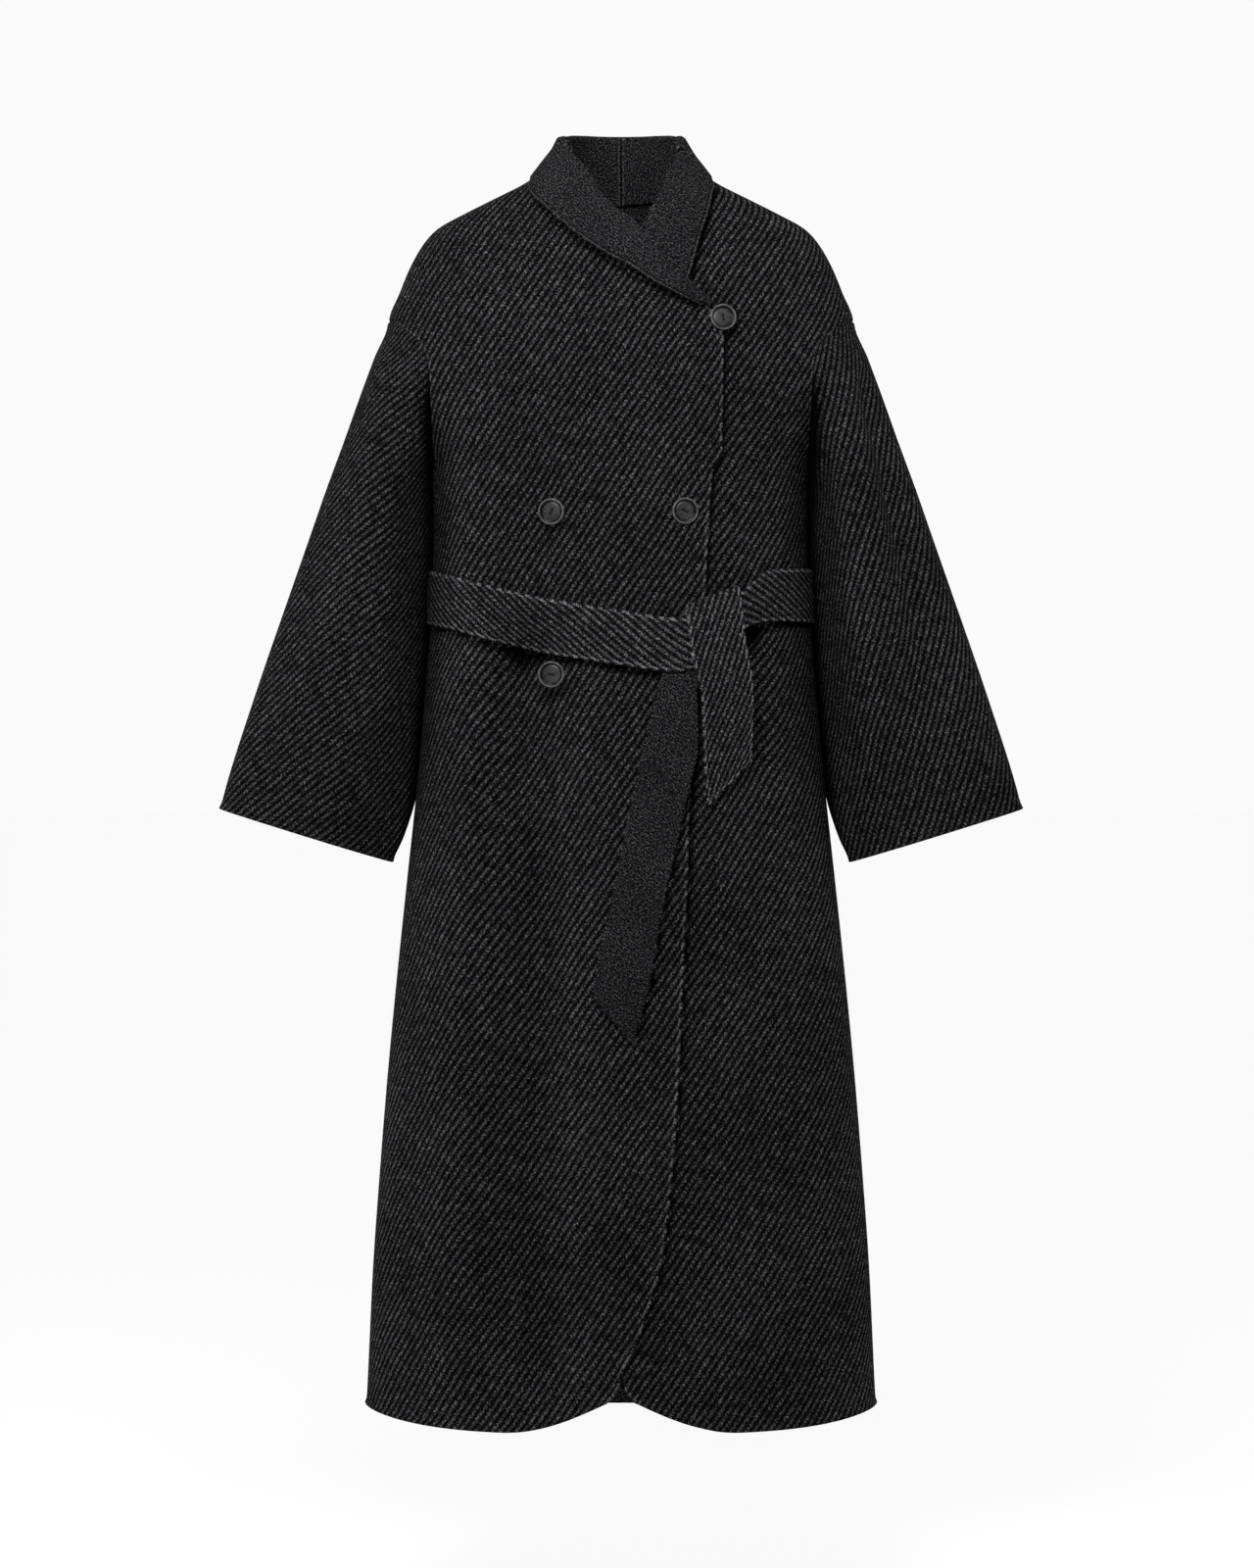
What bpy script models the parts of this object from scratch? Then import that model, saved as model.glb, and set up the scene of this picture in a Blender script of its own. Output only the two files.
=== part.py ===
"""A belted double-breasted wool coat, hollow and upright, filled out as when it is worn.

Metres, +Z up. The front faces -Y and the wearer's right is at -X. The origin is between the two
points where the shoulder seams meet the neck, where the coat is carried.
"""

import math

import bmesh
import bpy
import numpy as np
from mathutils import Matrix, Vector

# Driving sizes
WALL = 0.003
SEAM_GAP = 0.0004
HEM = -1.229
NECK_TOP = 0.010
BACK_NECK_DIP = 0.020
BACK_NECK_DIP_FROM = -0.060
SHOULDER_TIP = -0.137
UNDERARM = -0.290
ROUNDNESS = 2.35
SLEEVE_ROUNDNESS = 2.15

# Grid steps of the walls
SKIRT_STEPS = 14
ARMHOLE_STEPS = 10
SHOULDER_STEPS = 12
FRONT_STEPS = 12
BACK_STEPS = 22
SLEEVE_STEPS = 16
COLLAR_STEPS = 22
ROLL_STEPS = 6
KNOT_STEPS = 22
TAIL_STEPS = 14
FRONT_CROWDING = 1.25
SECTION_SAMPLES = 120
SLOPE_STEP = 0.0005
SHARPEST_SMOOTH_DEGREES = 50

# Body sections: height, half width, depth in front, depth behind
BODY = (
    (HEM, 0.2545, 0.128, 0.122),
    (-1.090, 0.2484, 0.127, 0.120),
    (-0.992, 0.2416, 0.126, 0.118),
    (-0.894, 0.2337, 0.125, 0.116),
    (-0.796, 0.2244, 0.124, 0.114),
    (-0.698, 0.2141, 0.122, 0.111),
    (-0.600, 0.2035, 0.119, 0.107),
    (-0.500, 0.1945, 0.116, 0.103),
    (-0.420, 0.1890, 0.115, 0.101),
    (-0.350, 0.1865, 0.118, 0.104),
    (UNDERARM, 0.1880, 0.120, 0.109),
    (-0.250, 0.2055, 0.1205, 0.1115),
    (-0.220, 0.2200, 0.120, 0.113),
    (-0.190, 0.2300, 0.118, 0.114),
    (-0.163, 0.2335, 0.115, 0.114),
    (SHOULDER_TIP, 0.2320, 0.111, 0.113),
    (-0.110, 0.2215, 0.105, 0.110),
    (-0.085, 0.2112, 0.098, 0.106),
    (-0.061, 0.1975, 0.091, 0.100),
    (-0.047, 0.1847, 0.086, 0.096),
    (-0.031, 0.1588, 0.079, 0.090),
    (-0.016, 0.1289, 0.071, 0.083),
    (0.000, 0.0955, 0.062, 0.075),
    (NECK_TOP, 0.0830, 0.056, 0.072),
    (0.030, 0.0720, 0.052, 0.0705),
    (0.060, 0.0560, 0.045, 0.070),
)
HALF_WIDTH, FRONT_DEPTH, BACK_DEPTH = 1, 2, 3

# Armhole seam as seen from the front: height, distance from the middle
ARMHOLE = (
    (UNDERARM, 0.1880),
    (-0.240, 0.1886),
    (-0.186, 0.1905),
    (-0.163, 0.2000),
    (-0.152, 0.2115),
    (SHOULDER_TIP, 0.2320),
)

# Inner edges of the fronts: height, how far the upper front and the lower front pass the middle
FRONT_EDGES = (
    (HEM, -0.0300, -0.0300),
    (-1.200, -0.0142, -0.0142),
    (-1.188, -0.0027, -0.0027),
    (-1.171, 0.0021, 0.0021),
    (-1.148, 0.0145, 0.0145),
    (-1.121, 0.0241, 0.0241),
    (-1.059, 0.0413, 0.0413),
    (-0.935, 0.0538, 0.0538),
    (-0.778, 0.0614, 0.0614),
    (-0.654, 0.0672, 0.0672),
    (-0.417, 0.0825, 0.0825),
    (-0.294, 0.0901, 0.0901),
    (-0.273, 0.0997, 0.0997),
    (-0.159, 0.1006, 0.0999),
    (-0.1454, 0.0997, 0.0600),
    (-0.1359, 0.0892, 0.0000),
    (-0.1215, 0.0748, -0.0240),
    (-0.087, 0.0365, -0.0350),
    (-0.060, -0.0018, -0.0450),
    (-0.0225, -0.0425, -0.0660),
    (-0.006, -0.0750, -0.0770),
    (0.000, -0.0785, -0.0795),
    (NECK_TOP, -0.0822, -0.0822),
)
UPPER, LOWER = 1, 2

# Round lower corner of each front
CORNER_RISE = 0.030
CORNER_REACH = 0.100
CORNER_POWER = 2.2
CORNER_HEIGHT = 0.140

# How far the lower front lies under the upper one: height, distance
TUCK = (
    (HEM, 0.0045),
    (-0.230, 0.0045),
    (-0.150, 0.0125),
    (-0.090, 0.0125),
    (-0.050, 0.0105),
    (-0.020, 0.0020),
    (NECK_TOP, 0.0000),
)
TUCK_MARGIN = 0.010
TUCK_FADE = 0.045
TUCK_LEAST_REACH = 0.070

# Soft folds of the body: panel, x of the middle at its top and bottom, heights of its top and bottom,
# half width, how far it stands out (in is negative)
FOLDS = (
    ("front", -0.070, -0.118, -0.500, -1.180, 0.034, -0.0060),
    ("front", -0.150, -0.176, -0.560, -1.200, 0.030, 0.0040),
    ("front", 0.130, 0.150, -0.520, -1.150, 0.034, -0.0045),
    ("back", -0.060, -0.085, -0.520, -1.190, 0.036, -0.0060),
    ("back", 0.055, 0.100, -0.560, -1.180, 0.034, -0.0060),
    ("back", 0.000, 0.010, -0.600, -1.200, 0.030, 0.0040),
)
FOLD_RUN = 0.16

# Sleeve rings: length along the sleeve, outer x and z, inner x and z, half depth, y of the middle
SLEEVE = (
    (0.00, 0.2330, -0.1380, 0.1883, -0.2910, 0.0770, 0.000),
    (0.05, 0.2430, -0.1650, 0.1905, -0.3010, 0.0800, 0.000),
    (0.12, 0.2590, -0.2080, 0.1920, -0.3130, 0.0820, 0.000),
    (0.20, 0.2765, -0.2570, 0.1925, -0.3310, 0.0815, 0.000),
    (0.30, 0.2945, -0.3060, 0.1930, -0.3600, 0.0785, -0.002),
    (0.40, 0.3115, -0.3550, 0.1945, -0.4000, 0.0740, -0.004),
    (0.50, 0.3285, -0.4040, 0.1970, -0.4470, 0.0690, -0.006),
    (0.70, 0.3622, -0.5020, 0.2040, -0.5500, 0.0580, -0.009),
    (0.92, 0.3930, -0.5980, 0.2200, -0.6490, 0.0440, -0.011),
    (1.00, 0.4000, -0.6250, 0.2293, -0.6780, 0.0400, -0.012),
)
ARMHOLE_CLEAR = 0.0003

# Soft folds of a sleeve: place along it at both ends, place round it in turns, half width, height
SLEEVE_FOLDS = (
    (0.20, 0.62, 0.17, 0.07, -0.0050),
    (0.35, 0.80, 0.33, 0.06, 0.0040),
    (0.25, 0.70, 0.80, 0.08, -0.0050),
)
SLEEVE_FOLD_RUN = 0.12

# Collar sections behind the neck: roll x and height, outer edge x and height, neck seam x and height
NECK_SECTIONS = (
    (0.0000, 0.0545, 0.0000, -0.0240, 0.0000, -0.0078),
    (0.0300, 0.0545, 0.0500, -0.0210, 0.0380, -0.0040),
    (0.0480, 0.0520, 0.0840, -0.0100, 0.0680, 0.0045),
    (0.0570, 0.0468, 0.0935, 0.0030, 0.0830, 0.0122),
)
# Collar sections of the two wings: the same, but the neck seam is given by its height alone
UPPER_WING = (
    (0.0555, 0.0390, 0.0930, -0.0010, 0.0060),
    (0.0510, 0.0270, 0.0915, -0.0060, -0.0010),
    (0.0260, 0.0005, 0.0715, -0.0250, -0.0225),
    (-0.0050, -0.0366, 0.0374, -0.0574, -0.0520),
    (-0.0261, -0.0561, 0.0124, -0.0791, -0.0700),
    (-0.0586, -0.0961, -0.0340, -0.1035, -0.0955),
    (-0.0830, -0.1235, -0.0705, -0.1257, -0.1230),
    (-0.0890, -0.1300, -0.0800, -0.1318, -0.1295),
)
LOWER_WING = (
    (0.0560, 0.0370, 0.0930, -0.0010, 0.0060),
    (0.0546, 0.0210, 0.0915, -0.0060, -0.0010),
    (0.0418, -0.0025, 0.0884, -0.0228, -0.0225),
    (0.0310, -0.0268, 0.0820, -0.0492, -0.0390),
    (0.0203, -0.0469, 0.0751, -0.0734, -0.0600),
    (0.0120, -0.0660, 0.0683, -0.0979, -0.0810),
    (0.0060, -0.0800, 0.0640, -0.1090, -0.0970),
)
NECK_ROLL_LIFT = -0.0010
WING_ROLL_LIFT = 0.0022
EDGE_LIFT = 0.0050
COLLAR_SEAM_GAP = 0.0022
ROLL_RADIUS = 0.0026
FALL_SWELL = 0.0036
# Places of the grid's points on the stand, from the neck seam, and on the fall, from the roll
STAND_SHARES = (0.0, 0.35, 0.7)
FALL_SHARES = (0.25, 0.5, 0.75, 1.0)

# Belt
BELT_WIDTH = 0.053
BELT_CLEAR = 0.0009
BELT_ACROSS = (0.0, 0.33, 0.67, 1.0)
# The belt in front: x, height of its middle, distance of its back from the body, width
BELT_FRONT = (
    (-0.1940, -0.4130, 0.0009, BELT_WIDTH),
    (-0.1340, -0.4300, 0.0030, BELT_WIDTH),
    (-0.0715, -0.4450, 0.0060, BELT_WIDTH),
    (0.0010, -0.4570, 0.0085, BELT_WIDTH),
    (0.0600, -0.4645, 0.0098, 0.0520),
    (0.0860, -0.4620, 0.0098, 0.0400),
    (0.1120, -0.4320, 0.0098, 0.0360),
    (0.1450, -0.4148, 0.0050, 0.0510),
    (0.1940, -0.4130, 0.0009, BELT_WIDTH),
)
BELT_BACK_HEIGHT = -0.413
KNOT_LEFT_END = 0.0895
# Wrap and short tail: left x and height, right x and height, distance of its back from the body
KNOT_TAIL = (
    (0.0660, -0.4640, 0.1140, -0.4470, 0.0056),
    (0.0630, -0.4440, 0.1120, -0.4240, 0.0056),
    (0.0612, -0.4300, 0.1108, -0.4090, 0.0090),
    (0.0608, -0.4280, 0.1105, -0.4065, 0.0125),
    (0.0612, -0.4310, 0.1110, -0.4120, 0.0150),
    (0.0630, -0.4480, 0.1130, -0.4280, 0.0158),
    (0.0662, -0.4740, 0.1166, -0.4620, 0.0150),
    (0.0720, -0.4960, 0.1224, -0.4920, 0.0138),
    (0.0770, -0.5200, 0.1262, -0.5200, 0.0085),
    (0.0790, -0.5620, 0.1268, -0.5500, 0.0050),
    (0.0835, -0.6230, 0.1262, -0.5780, 0.0030),
)
# Long tail: the same columns
LONG_TAIL = (
    (0.0385, -0.4760, 0.0720, -0.4760, 0.0056),
    (0.0390, -0.4950, 0.0728, -0.4950, 0.0056),
    (0.0242, -0.5535, 0.0748, -0.5560, 0.0050),
    (0.0070, -0.6320, 0.0604, -0.6290, 0.0040),
    (-0.0103, -0.7172, 0.0413, -0.7172, 0.0034),
    (-0.0237, -0.7780, 0.0289, -0.7900, 0.0030),
    (-0.0285, -0.8080, 0.0117, -0.8545, 0.0030),
)

# Buttons
BUTTON_RADIUS = 0.0130
BUTTON_THICKNESS = 0.0040
BUTTON_CLEAR = 0.0003
BUTTON_SIDES = 20
BUTTON_MERGE = 0.00001
# Turned profile with a dish and a raised rim: shares of the radius and of the thickness
BUTTON_PROFILE = (
    (0.00, 0.60),
    (0.62, 0.60),
    (0.76, 0.95),
    (0.86, 1.00),
    (0.97, 0.80),
    (1.00, 0.50),
    (0.93, 0.12),
    (0.80, 0.00),
    (0.00, 0.00),
)
# Name, x, height, further lift
BUTTONS = (
    ("button_top", 0.0997, -0.1435, 0.0004),
    ("button_upper_right", -0.0678, -0.3338, 0.0),
    ("button_upper_left", 0.0624, -0.3330, 0.0),
    ("button_lower_right", -0.0678, -0.4930, 0.0),
    ("button_lower_left", 0.0620, -0.4930, 0.0),
)

# Colours and finishes: base colour, roughness
FINISHES = {
    "wool_face": ((0.020, 0.019, 0.021, 1.0), 0.92),
    "wool_reverse": ((0.026, 0.025, 0.027, 1.0), 0.95),
    "horn": ((0.012, 0.011, 0.011, 1.0), 0.32),
}


def clear_scene():
    for item in list(bpy.data.objects):
        bpy.data.objects.remove(item, do_unlink=True)


def finish(name):
    """The named material, made once."""
    material = bpy.data.materials.get(name)
    if material is None:
        material = bpy.data.materials.new(name)
        material.use_nodes = True
        shader = material.node_tree.nodes["Principled BSDF"]
        colour, roughness = FINISHES[name]
        shader.inputs["Base Color"].default_value = colour
        shader.inputs["Roughness"].default_value = roughness
        shader.inputs["Metallic"].default_value = 0.0
    return material


def along(table, column, at):
    """Smooth value of one column of a table, with no overshoot, at a value of its first column."""
    keys = np.array([row[0] for row in table])
    values = np.array([row[column] for row in table])
    steps = np.diff(keys)
    rises = np.diff(values) / steps
    slopes = np.zeros(len(keys))
    slopes[0] = rises[0]
    slopes[-1] = rises[-1]
    for i in range(1, len(keys) - 1):
        if rises[i - 1] * rises[i] > 0:
            slopes[i] = 2 * rises[i - 1] * rises[i] / (rises[i - 1] + rises[i])
    i = min(max(int(np.searchsorted(keys, at)) - 1, 0), len(keys) - 2)
    u = min(max((at - keys[i]) / steps[i], 0.0), 1.0)
    low = values[i] * (1 + 2 * u) * (1 - u) ** 2 + values[i + 1] * u * u * (3 - 2 * u)
    return low + steps[i] * (slopes[i] * u * (1 - u) ** 2 - slopes[i + 1] * u * u * (1 - u))


def soft_step(low, high, at):
    u = min(max((at - low) / (high - low), 0.0), 1.0)
    return u * u * (3 - 2 * u)


def depth(face, z):
    return along(BODY, BACK_DEPTH if face == "back" else FRONT_DEPTH, z)


def half_width(z):
    return along(BODY, HALF_WIDTH, z)


def turn_at(x, z):
    """Angle round the section at an x: 0 at the middle, a quarter turn at the side."""
    share = min(abs(x) / half_width(z), 1.0)
    return math.copysign(math.asin(share ** (ROUNDNESS / 2)), x)


def edge_turn(face, z):
    """Angle at which a panel ends: at the armhole, or half a seam gap from the side."""
    if UNDERARM < z < SHOULDER_TIP:
        return turn_at(along(ARMHOLE, 1, z), z)
    return math.acos((SEAM_GAP / 2 / depth(face, z)) ** (ROUNDNESS / 2))


def body_point(face, turn, z):
    x = half_width(z) * math.copysign(abs(math.sin(turn)) ** (2 / ROUNDNESS), turn)
    y = depth(face, z) * abs(math.cos(turn)) ** (2 / ROUNDNESS)
    return np.array((x, y if face == "back" else -y, z))


def body_normal(face, point):
    """Outward direction of the body's surface, from the slope of its section rule."""
    x, y, z = point
    high = z + SLOPE_STEP
    low = z - SLOPE_STEP
    width = half_width(z)
    reach = depth(face, z)
    width_slope = (half_width(high) - half_width(low)) / (high - low)
    reach_slope = (depth(face, high) - depth(face, low)) / (high - low)
    across = abs(x) / width
    through = abs(y) / reach
    normal = np.array((
        math.copysign(across ** (ROUNDNESS - 1) / width, x),
        (1 if face == "back" else -1) * through ** (ROUNDNESS - 1) / reach,
        -(across ** ROUNDNESS) * width_slope / width - through ** ROUNDNESS * reach_slope / reach,
    ))
    return normal / np.linalg.norm(normal)


def on_body(face, x, z, lift):
    """Point of the body's surface at an x and a height, moved out."""
    point = body_point(face, turn_at(x, z), z)
    return point + lift * body_normal(face, point)


def round_body(angle, z, lift):
    """Point of the body's surface at an angle, from 0 behind to half a turn in front, moved out."""
    if angle < math.pi / 2:
        face, turn = "back", angle
    else:
        face, turn = "front", math.pi - angle
    point = body_point(face, turn, z)
    return point + lift * body_normal(face, point)


def section(face, z, turn_from, turn_to, shares):
    """Points of one body section between two angles, at shares of its length."""
    turns = np.linspace(turn_from, turn_to, SECTION_SAMPLES)
    points = np.array([body_point(face, turn, z) for turn in turns])
    length = np.concatenate(([0.0], np.cumsum(np.linalg.norm(np.diff(points, axis=0), axis=1))))
    picked = np.interp(np.asarray(shares) * length[-1], length, turns)
    return [body_point(face, turn, z) for turn in picked], length[-1]


def fold_height(face, x, z):
    total = 0.0
    for side, top_x, hem_x, top, bottom, half, height in FOLDS:
        if side != face or not bottom < z < top:
            continue
        middle = top_x + (hem_x - top_x) * (top - z) / (top - bottom)
        ends = soft_step(top, top - FOLD_RUN, z) * soft_step(bottom, bottom + FOLD_RUN, z)
        total += height * ends * math.exp(-(((x - middle) / half) ** 2))
    return total


def row_heights():
    skirt = np.linspace(HEM, UNDERARM, SKIRT_STEPS + 1)[:-1]
    middle = (SHOULDER_TIP + UNDERARM) / 2
    half = (SHOULDER_TIP - UNDERARM) / 2
    armhole = [middle - half * math.cos(math.pi * i / ARMHOLE_STEPS) for i in range(ARMHOLE_STEPS)]
    shoulder = np.linspace(SHOULDER_TIP, NECK_TOP - SEAM_GAP, SHOULDER_STEPS + 1)
    return [*skirt, *armhole, *shoulder]


def wall(name, outer, inner, material, ring=False):
    """A closed wall between two grids of points. A ring's columns go all round."""
    outer = np.asarray(outer)
    inner = np.asarray(inner)
    rows, columns = outer.shape[:2]
    shape = bmesh.new()
    skins = [[[shape.verts.new(point) for point in row] for row in grid] for grid in (outer, inner)]
    spans = columns if ring else columns - 1
    for skin in skins:
        for i in range(rows - 1):
            for j in range(spans):
                k = (j + 1) % columns
                shape.faces.new((skin[i][j], skin[i][k], skin[i + 1][k], skin[i + 1][j]))
    near, far = skins
    for j in range(spans):
        k = (j + 1) % columns
        for i in (0, rows - 1):
            shape.faces.new((near[i][j], near[i][k], far[i][k], far[i][j]))
    for i in range(rows - 1):
        for j in () if ring else (0, columns - 1):
            shape.faces.new((near[i][j], near[i + 1][j], far[i + 1][j], far[i][j]))
    bmesh.ops.recalc_face_normals(shape, faces=shape.faces)
    mesh = bpy.data.meshes.new(name)
    shape.to_mesh(mesh)
    shape.free()
    mesh.shade_smooth()
    mesh.set_sharp_from_angle(angle=math.radians(SHARPEST_SMOOTH_DEGREES))
    mesh.materials.append(finish(material))
    piece = bpy.data.objects.new(name, mesh)
    COAT.objects.link(piece)


def front_shares():
    return (np.arange(FRONT_STEPS + 1) / FRONT_STEPS) ** FRONT_CROWDING


def tuck(x, z):
    """Distance by which the lower front lies inside the body's surface."""
    limit = max(along(FRONT_EDGES, UPPER, z), TUCK_LEAST_REACH) + TUCK_MARGIN
    return along(TUCK, 1, z) * (1 - soft_step(limit, limit + TUCK_FADE, x))


def front_point(side, layer, share, height):
    """Point of a front's outer face and its outward direction, at a share of the way to the side."""
    _, length = section("front", height, 0.0, edge_turn("front", height), (0.0,))
    fade = max(0.0, 1 - (height - HEM) / CORNER_HEIGHT) ** 2
    z = height + CORNER_RISE * fade * max(0.0, 1 - share * length / CORNER_REACH) ** CORNER_POWER
    start = turn_at(-along(FRONT_EDGES, layer, z), z)
    (point,), _ = section("front", z, start, edge_turn("front", z), (share,))
    point[0] *= side
    normal = body_normal("front", point)
    lift = fold_height("front", point[0], z)
    if layer == LOWER:
        lift -= tuck(point[0], z)
    return point + lift * normal, normal


def front(name, side, layer):
    """One front panel, from its inner edge and neckline to its side seam, armhole and shoulder seam."""
    outer = []
    inner = []
    for height in row_heights():
        row = [front_point(side, layer, share, height) for share in front_shares()]
        outer.append([point for point, _ in row])
        inner.append([point - WALL * normal for point, normal in row])
    wall(name, outer, inner, "wool_face")


def back_shares():
    return np.linspace(0, 1, BACK_STEPS + 1)


def back_point(share, height):
    """Point of the back's outer face and its outward direction, at a share of the way across."""
    dip = BACK_NECK_DIP * soft_step(BACK_NECK_DIP_FROM, NECK_TOP, height)
    z = height - dip * (1 - (2 * share - 1) ** 2)
    end = edge_turn("back", z)
    (point,), _ = section("back", z, -end, end, (share,))
    normal = body_normal("back", point)
    return point + fold_height("back", point[0], z) * normal, normal


def back():
    """The back panel, between the side seams, armholes and shoulder seams."""
    outer = []
    inner = []
    for z in row_heights():
        row = [back_point(share, z) for share in back_shares()]
        outer.append([point for point, _ in row])
        inner.append([point - WALL * normal for point, normal in row])
    wall("back", outer, inner, "wool_face")


def sleeve_ring(at):
    """One ring of a sleeve on the +X side, from its outer point round the front."""
    outer_x, outer_z, inner_x, inner_z, half, middle_y = (along(SLEEVE, i, at) for i in range(1, 7))
    ring = []
    count = 2 * ARMHOLE_STEPS
    for i in range(count):
        turn = 2 * math.pi * i / count
        c, s = math.cos(turn), math.sin(turn)
        if at == 0:
            middle = (SHOULDER_TIP + UNDERARM) / 2
            z = middle + c * (SHOULDER_TIP - UNDERARM) / 2
            seam = on_body("front" if s > 0 else "back", along(ARMHOLE, 1, z), z, 0.0)
            ring.append(seam + np.array((ARMHOLE_CLEAR, 0.0, -ARMHOLE_CLEAR)))
            continue
        across = math.copysign(abs(c) ** (2 / SLEEVE_ROUNDNESS), c)
        through = math.copysign(abs(s) ** (2 / SLEEVE_ROUNDNESS), s)
        x = (outer_x + inner_x) / 2 + across * (outer_x - inner_x) / 2
        z = (outer_z + inner_z) / 2 + across * (outer_z - inner_z) / 2
        ring.append((x, middle_y - half * through, z))
    return ring


def grid_normals(grid, ring=False):
    """Directions across a grid of points, from its neighbours."""
    if ring:
        padded = np.concatenate((grid[:, -1:], grid, grid[:, :1]), axis=1)
        across = np.gradient(padded, axis=1)[:, 1:-1]
    else:
        across = np.gradient(grid, axis=1)
    normals = np.cross(across, np.gradient(grid, axis=0))
    return normals / np.linalg.norm(normals, axis=2, keepdims=True)


def sleeve_fold_height(at, around):
    """Sum of a sleeve's folds at a place along it and round it, in turns."""
    total = 0.0
    for start, end, place, half, height in SLEEVE_FOLDS:
        away = (around - place + 0.5) % 1 - 0.5
        ends = soft_step(start, start + SLEEVE_FOLD_RUN, at) * soft_step(end, end - SLEEVE_FOLD_RUN, at)
        total += height * ends * math.exp(-((away / half) ** 2))
    return total


def sleeve(name, side):
    """One sleeve, a tube from the armhole to the cuff."""
    places = np.linspace(0, 1, SLEEVE_STEPS + 1)
    grid = np.array([sleeve_ring(at) for at in places])
    normals = grid_normals(grid, ring=True)
    count = grid.shape[1]
    for i, at in enumerate(places):
        for j in range(count):
            grid[i, j] += normals[i, j] * sleeve_fold_height(at, j / count)
    inner = grid - WALL * normals
    mirror = np.array((side, 1, 1))
    wall(name, grid * mirror, inner * mirror, "wool_face", ring=True)


def collar_path(roll, edge, seam):
    """Middle line of one collar section, from the neck seam over the roll to the outer edge."""
    up = roll - (edge + seam) / 2
    up = up / np.linalg.norm(up)
    out = edge - seam
    out = out - up * np.dot(out, up)
    out = out / np.linalg.norm(out)
    centre = roll - ROLL_RADIUS * up
    inside = centre - ROLL_RADIUS * out
    outside = centre + ROLL_RADIUS * out
    path = [seam + (inside - seam) * share for share in STAND_SHARES]
    for i in range(ROLL_STEPS + 1):
        turn = math.pi * (1 - i / ROLL_STEPS)
        path.append(centre + ROLL_RADIUS * (math.cos(turn) * out + math.sin(turn) * up))
    for share in FALL_SHARES:
        swell = FALL_SWELL * math.sin(math.pi * share)
        path.append(outside + (edge - outside) * share + swell * out)
    return path


def angle_at(face, x, z):
    """Angle round the body, from 0 behind to half a turn in front."""
    if face == "back":
        return turn_at(x, z)
    return math.pi - turn_at(x, z)


def collar(name, side, wing, layer):
    """One half of the shawl collar, from the seam at centre back to the end of its wing."""
    stations = []
    for roll_x, roll_z, edge_x, edge_z, seam_x, seam_z in NECK_SECTIONS:
        roll = (angle_at("back", roll_x, roll_z), roll_z, NECK_ROLL_LIFT)
        edge = (angle_at("back", edge_x, edge_z), edge_z, EDGE_LIFT)
        stations.append((*roll, *edge, angle_at("back", seam_x, seam_z), seam_z, -WALL / 2))
    for roll_x, roll_z, edge_x, edge_z, seam_z in wing:
        roll = (angle_at("front", roll_x, roll_z), roll_z, WING_ROLL_LIFT)
        edge = (angle_at("front", edge_x, edge_z), edge_z, EDGE_LIFT)
        seam_x = -along(FRONT_EDGES, layer, seam_z)
        stations.append((*roll, *edge, angle_at("front", seam_x, seam_z), seam_z, -WALL / 2))
    edges = np.array([round_body(*row[3:6]) for row in stations])
    length = np.concatenate(([0.0], np.cumsum(np.linalg.norm(np.diff(edges, axis=0), axis=1))))
    table = [(at, *row) for at, row in zip(length / length[-1], stations)]
    grid = []
    for at in np.linspace(0, 1, COLLAR_STEPS + 1):
        row = [along(table, i, at) for i in range(1, 10)]
        points = []
        for angle, z, lift in (row[0:3], row[3:6], row[6:9]):
            point = round_body(angle, z, lift)
            if layer == LOWER and angle > math.pi / 2:
                point = round_body(angle, z, lift - tuck(point[0], z))
            points.append(point)
        roll, edge, seam = points
        seam = seam + (roll - seam) / np.linalg.norm(roll - seam) * COLLAR_SEAM_GAP
        grid.append(collar_path(roll, edge, seam))
    grid = np.array(grid)
    grid[0, :, 0] = SEAM_GAP / 2
    normals = grid_normals(grid)
    normals[0, :, 0] = 0.0
    mirror = np.array((side, 1, 1))
    wall(name, (grid + normals * WALL / 2) * mirror, (grid - normals * WALL / 2) * mirror, "wool_reverse")


def belt_strip(name, shares, panel_point, clearance, middle_height, width):
    """One stretch of the belt, made from the points of the panel that it lies on."""
    outer = []
    inner = []
    for share in shares:
        x = panel_point(share, BELT_BACK_HEIGHT)[0][0]
        outer_row = []
        inner_row = []
        for across in BELT_ACROSS:
            point, normal = panel_point(share, middle_height(x) + (across - 0.5) * width(x))
            inner_row.append(point + clearance(x) * normal)
            outer_row.append(point + (clearance(x) + WALL) * normal)
        outer.append(outer_row)
        inner.append(inner_row)
    wall(name, outer, inner, "wool_face")


def belt():
    """The belt's stretches: from the right side to the knot, from there to the left side, and behind."""

    def right_point(share, z):
        return front_point(-1, UPPER, share, z)

    def left_point(share, z):
        return front_point(1, LOWER, share, z)

    def front_height(x):
        return along(BELT_FRONT, 1, x)

    def front_clear(x):
        return along(BELT_FRONT, 2, x)

    def left_clear(x):
        return front_clear(x) + tuck(x, BELT_BACK_HEIGHT)

    def front_width(x):
        return along(BELT_FRONT, 3, x)

    def back_width(x):
        return BELT_WIDTH

    def back_height(x):
        return BELT_BACK_HEIGHT

    def back_clear(x):
        return BELT_CLEAR

    places = [left_point(share, BELT_BACK_HEIGHT)[0][0] for share in front_shares()]
    knot_share = np.interp(KNOT_LEFT_END, places, front_shares())
    past_knot = [knot_share, *(s for s in front_shares() if s > knot_share)]
    belt_strip("belt_right", front_shares(), right_point, front_clear, front_height, front_width)
    belt_strip("belt_left", past_knot, left_point, left_clear, front_height, front_width)
    belt_strip("belt_back", back_shares(), back_point, back_clear, back_height, back_width)


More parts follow.
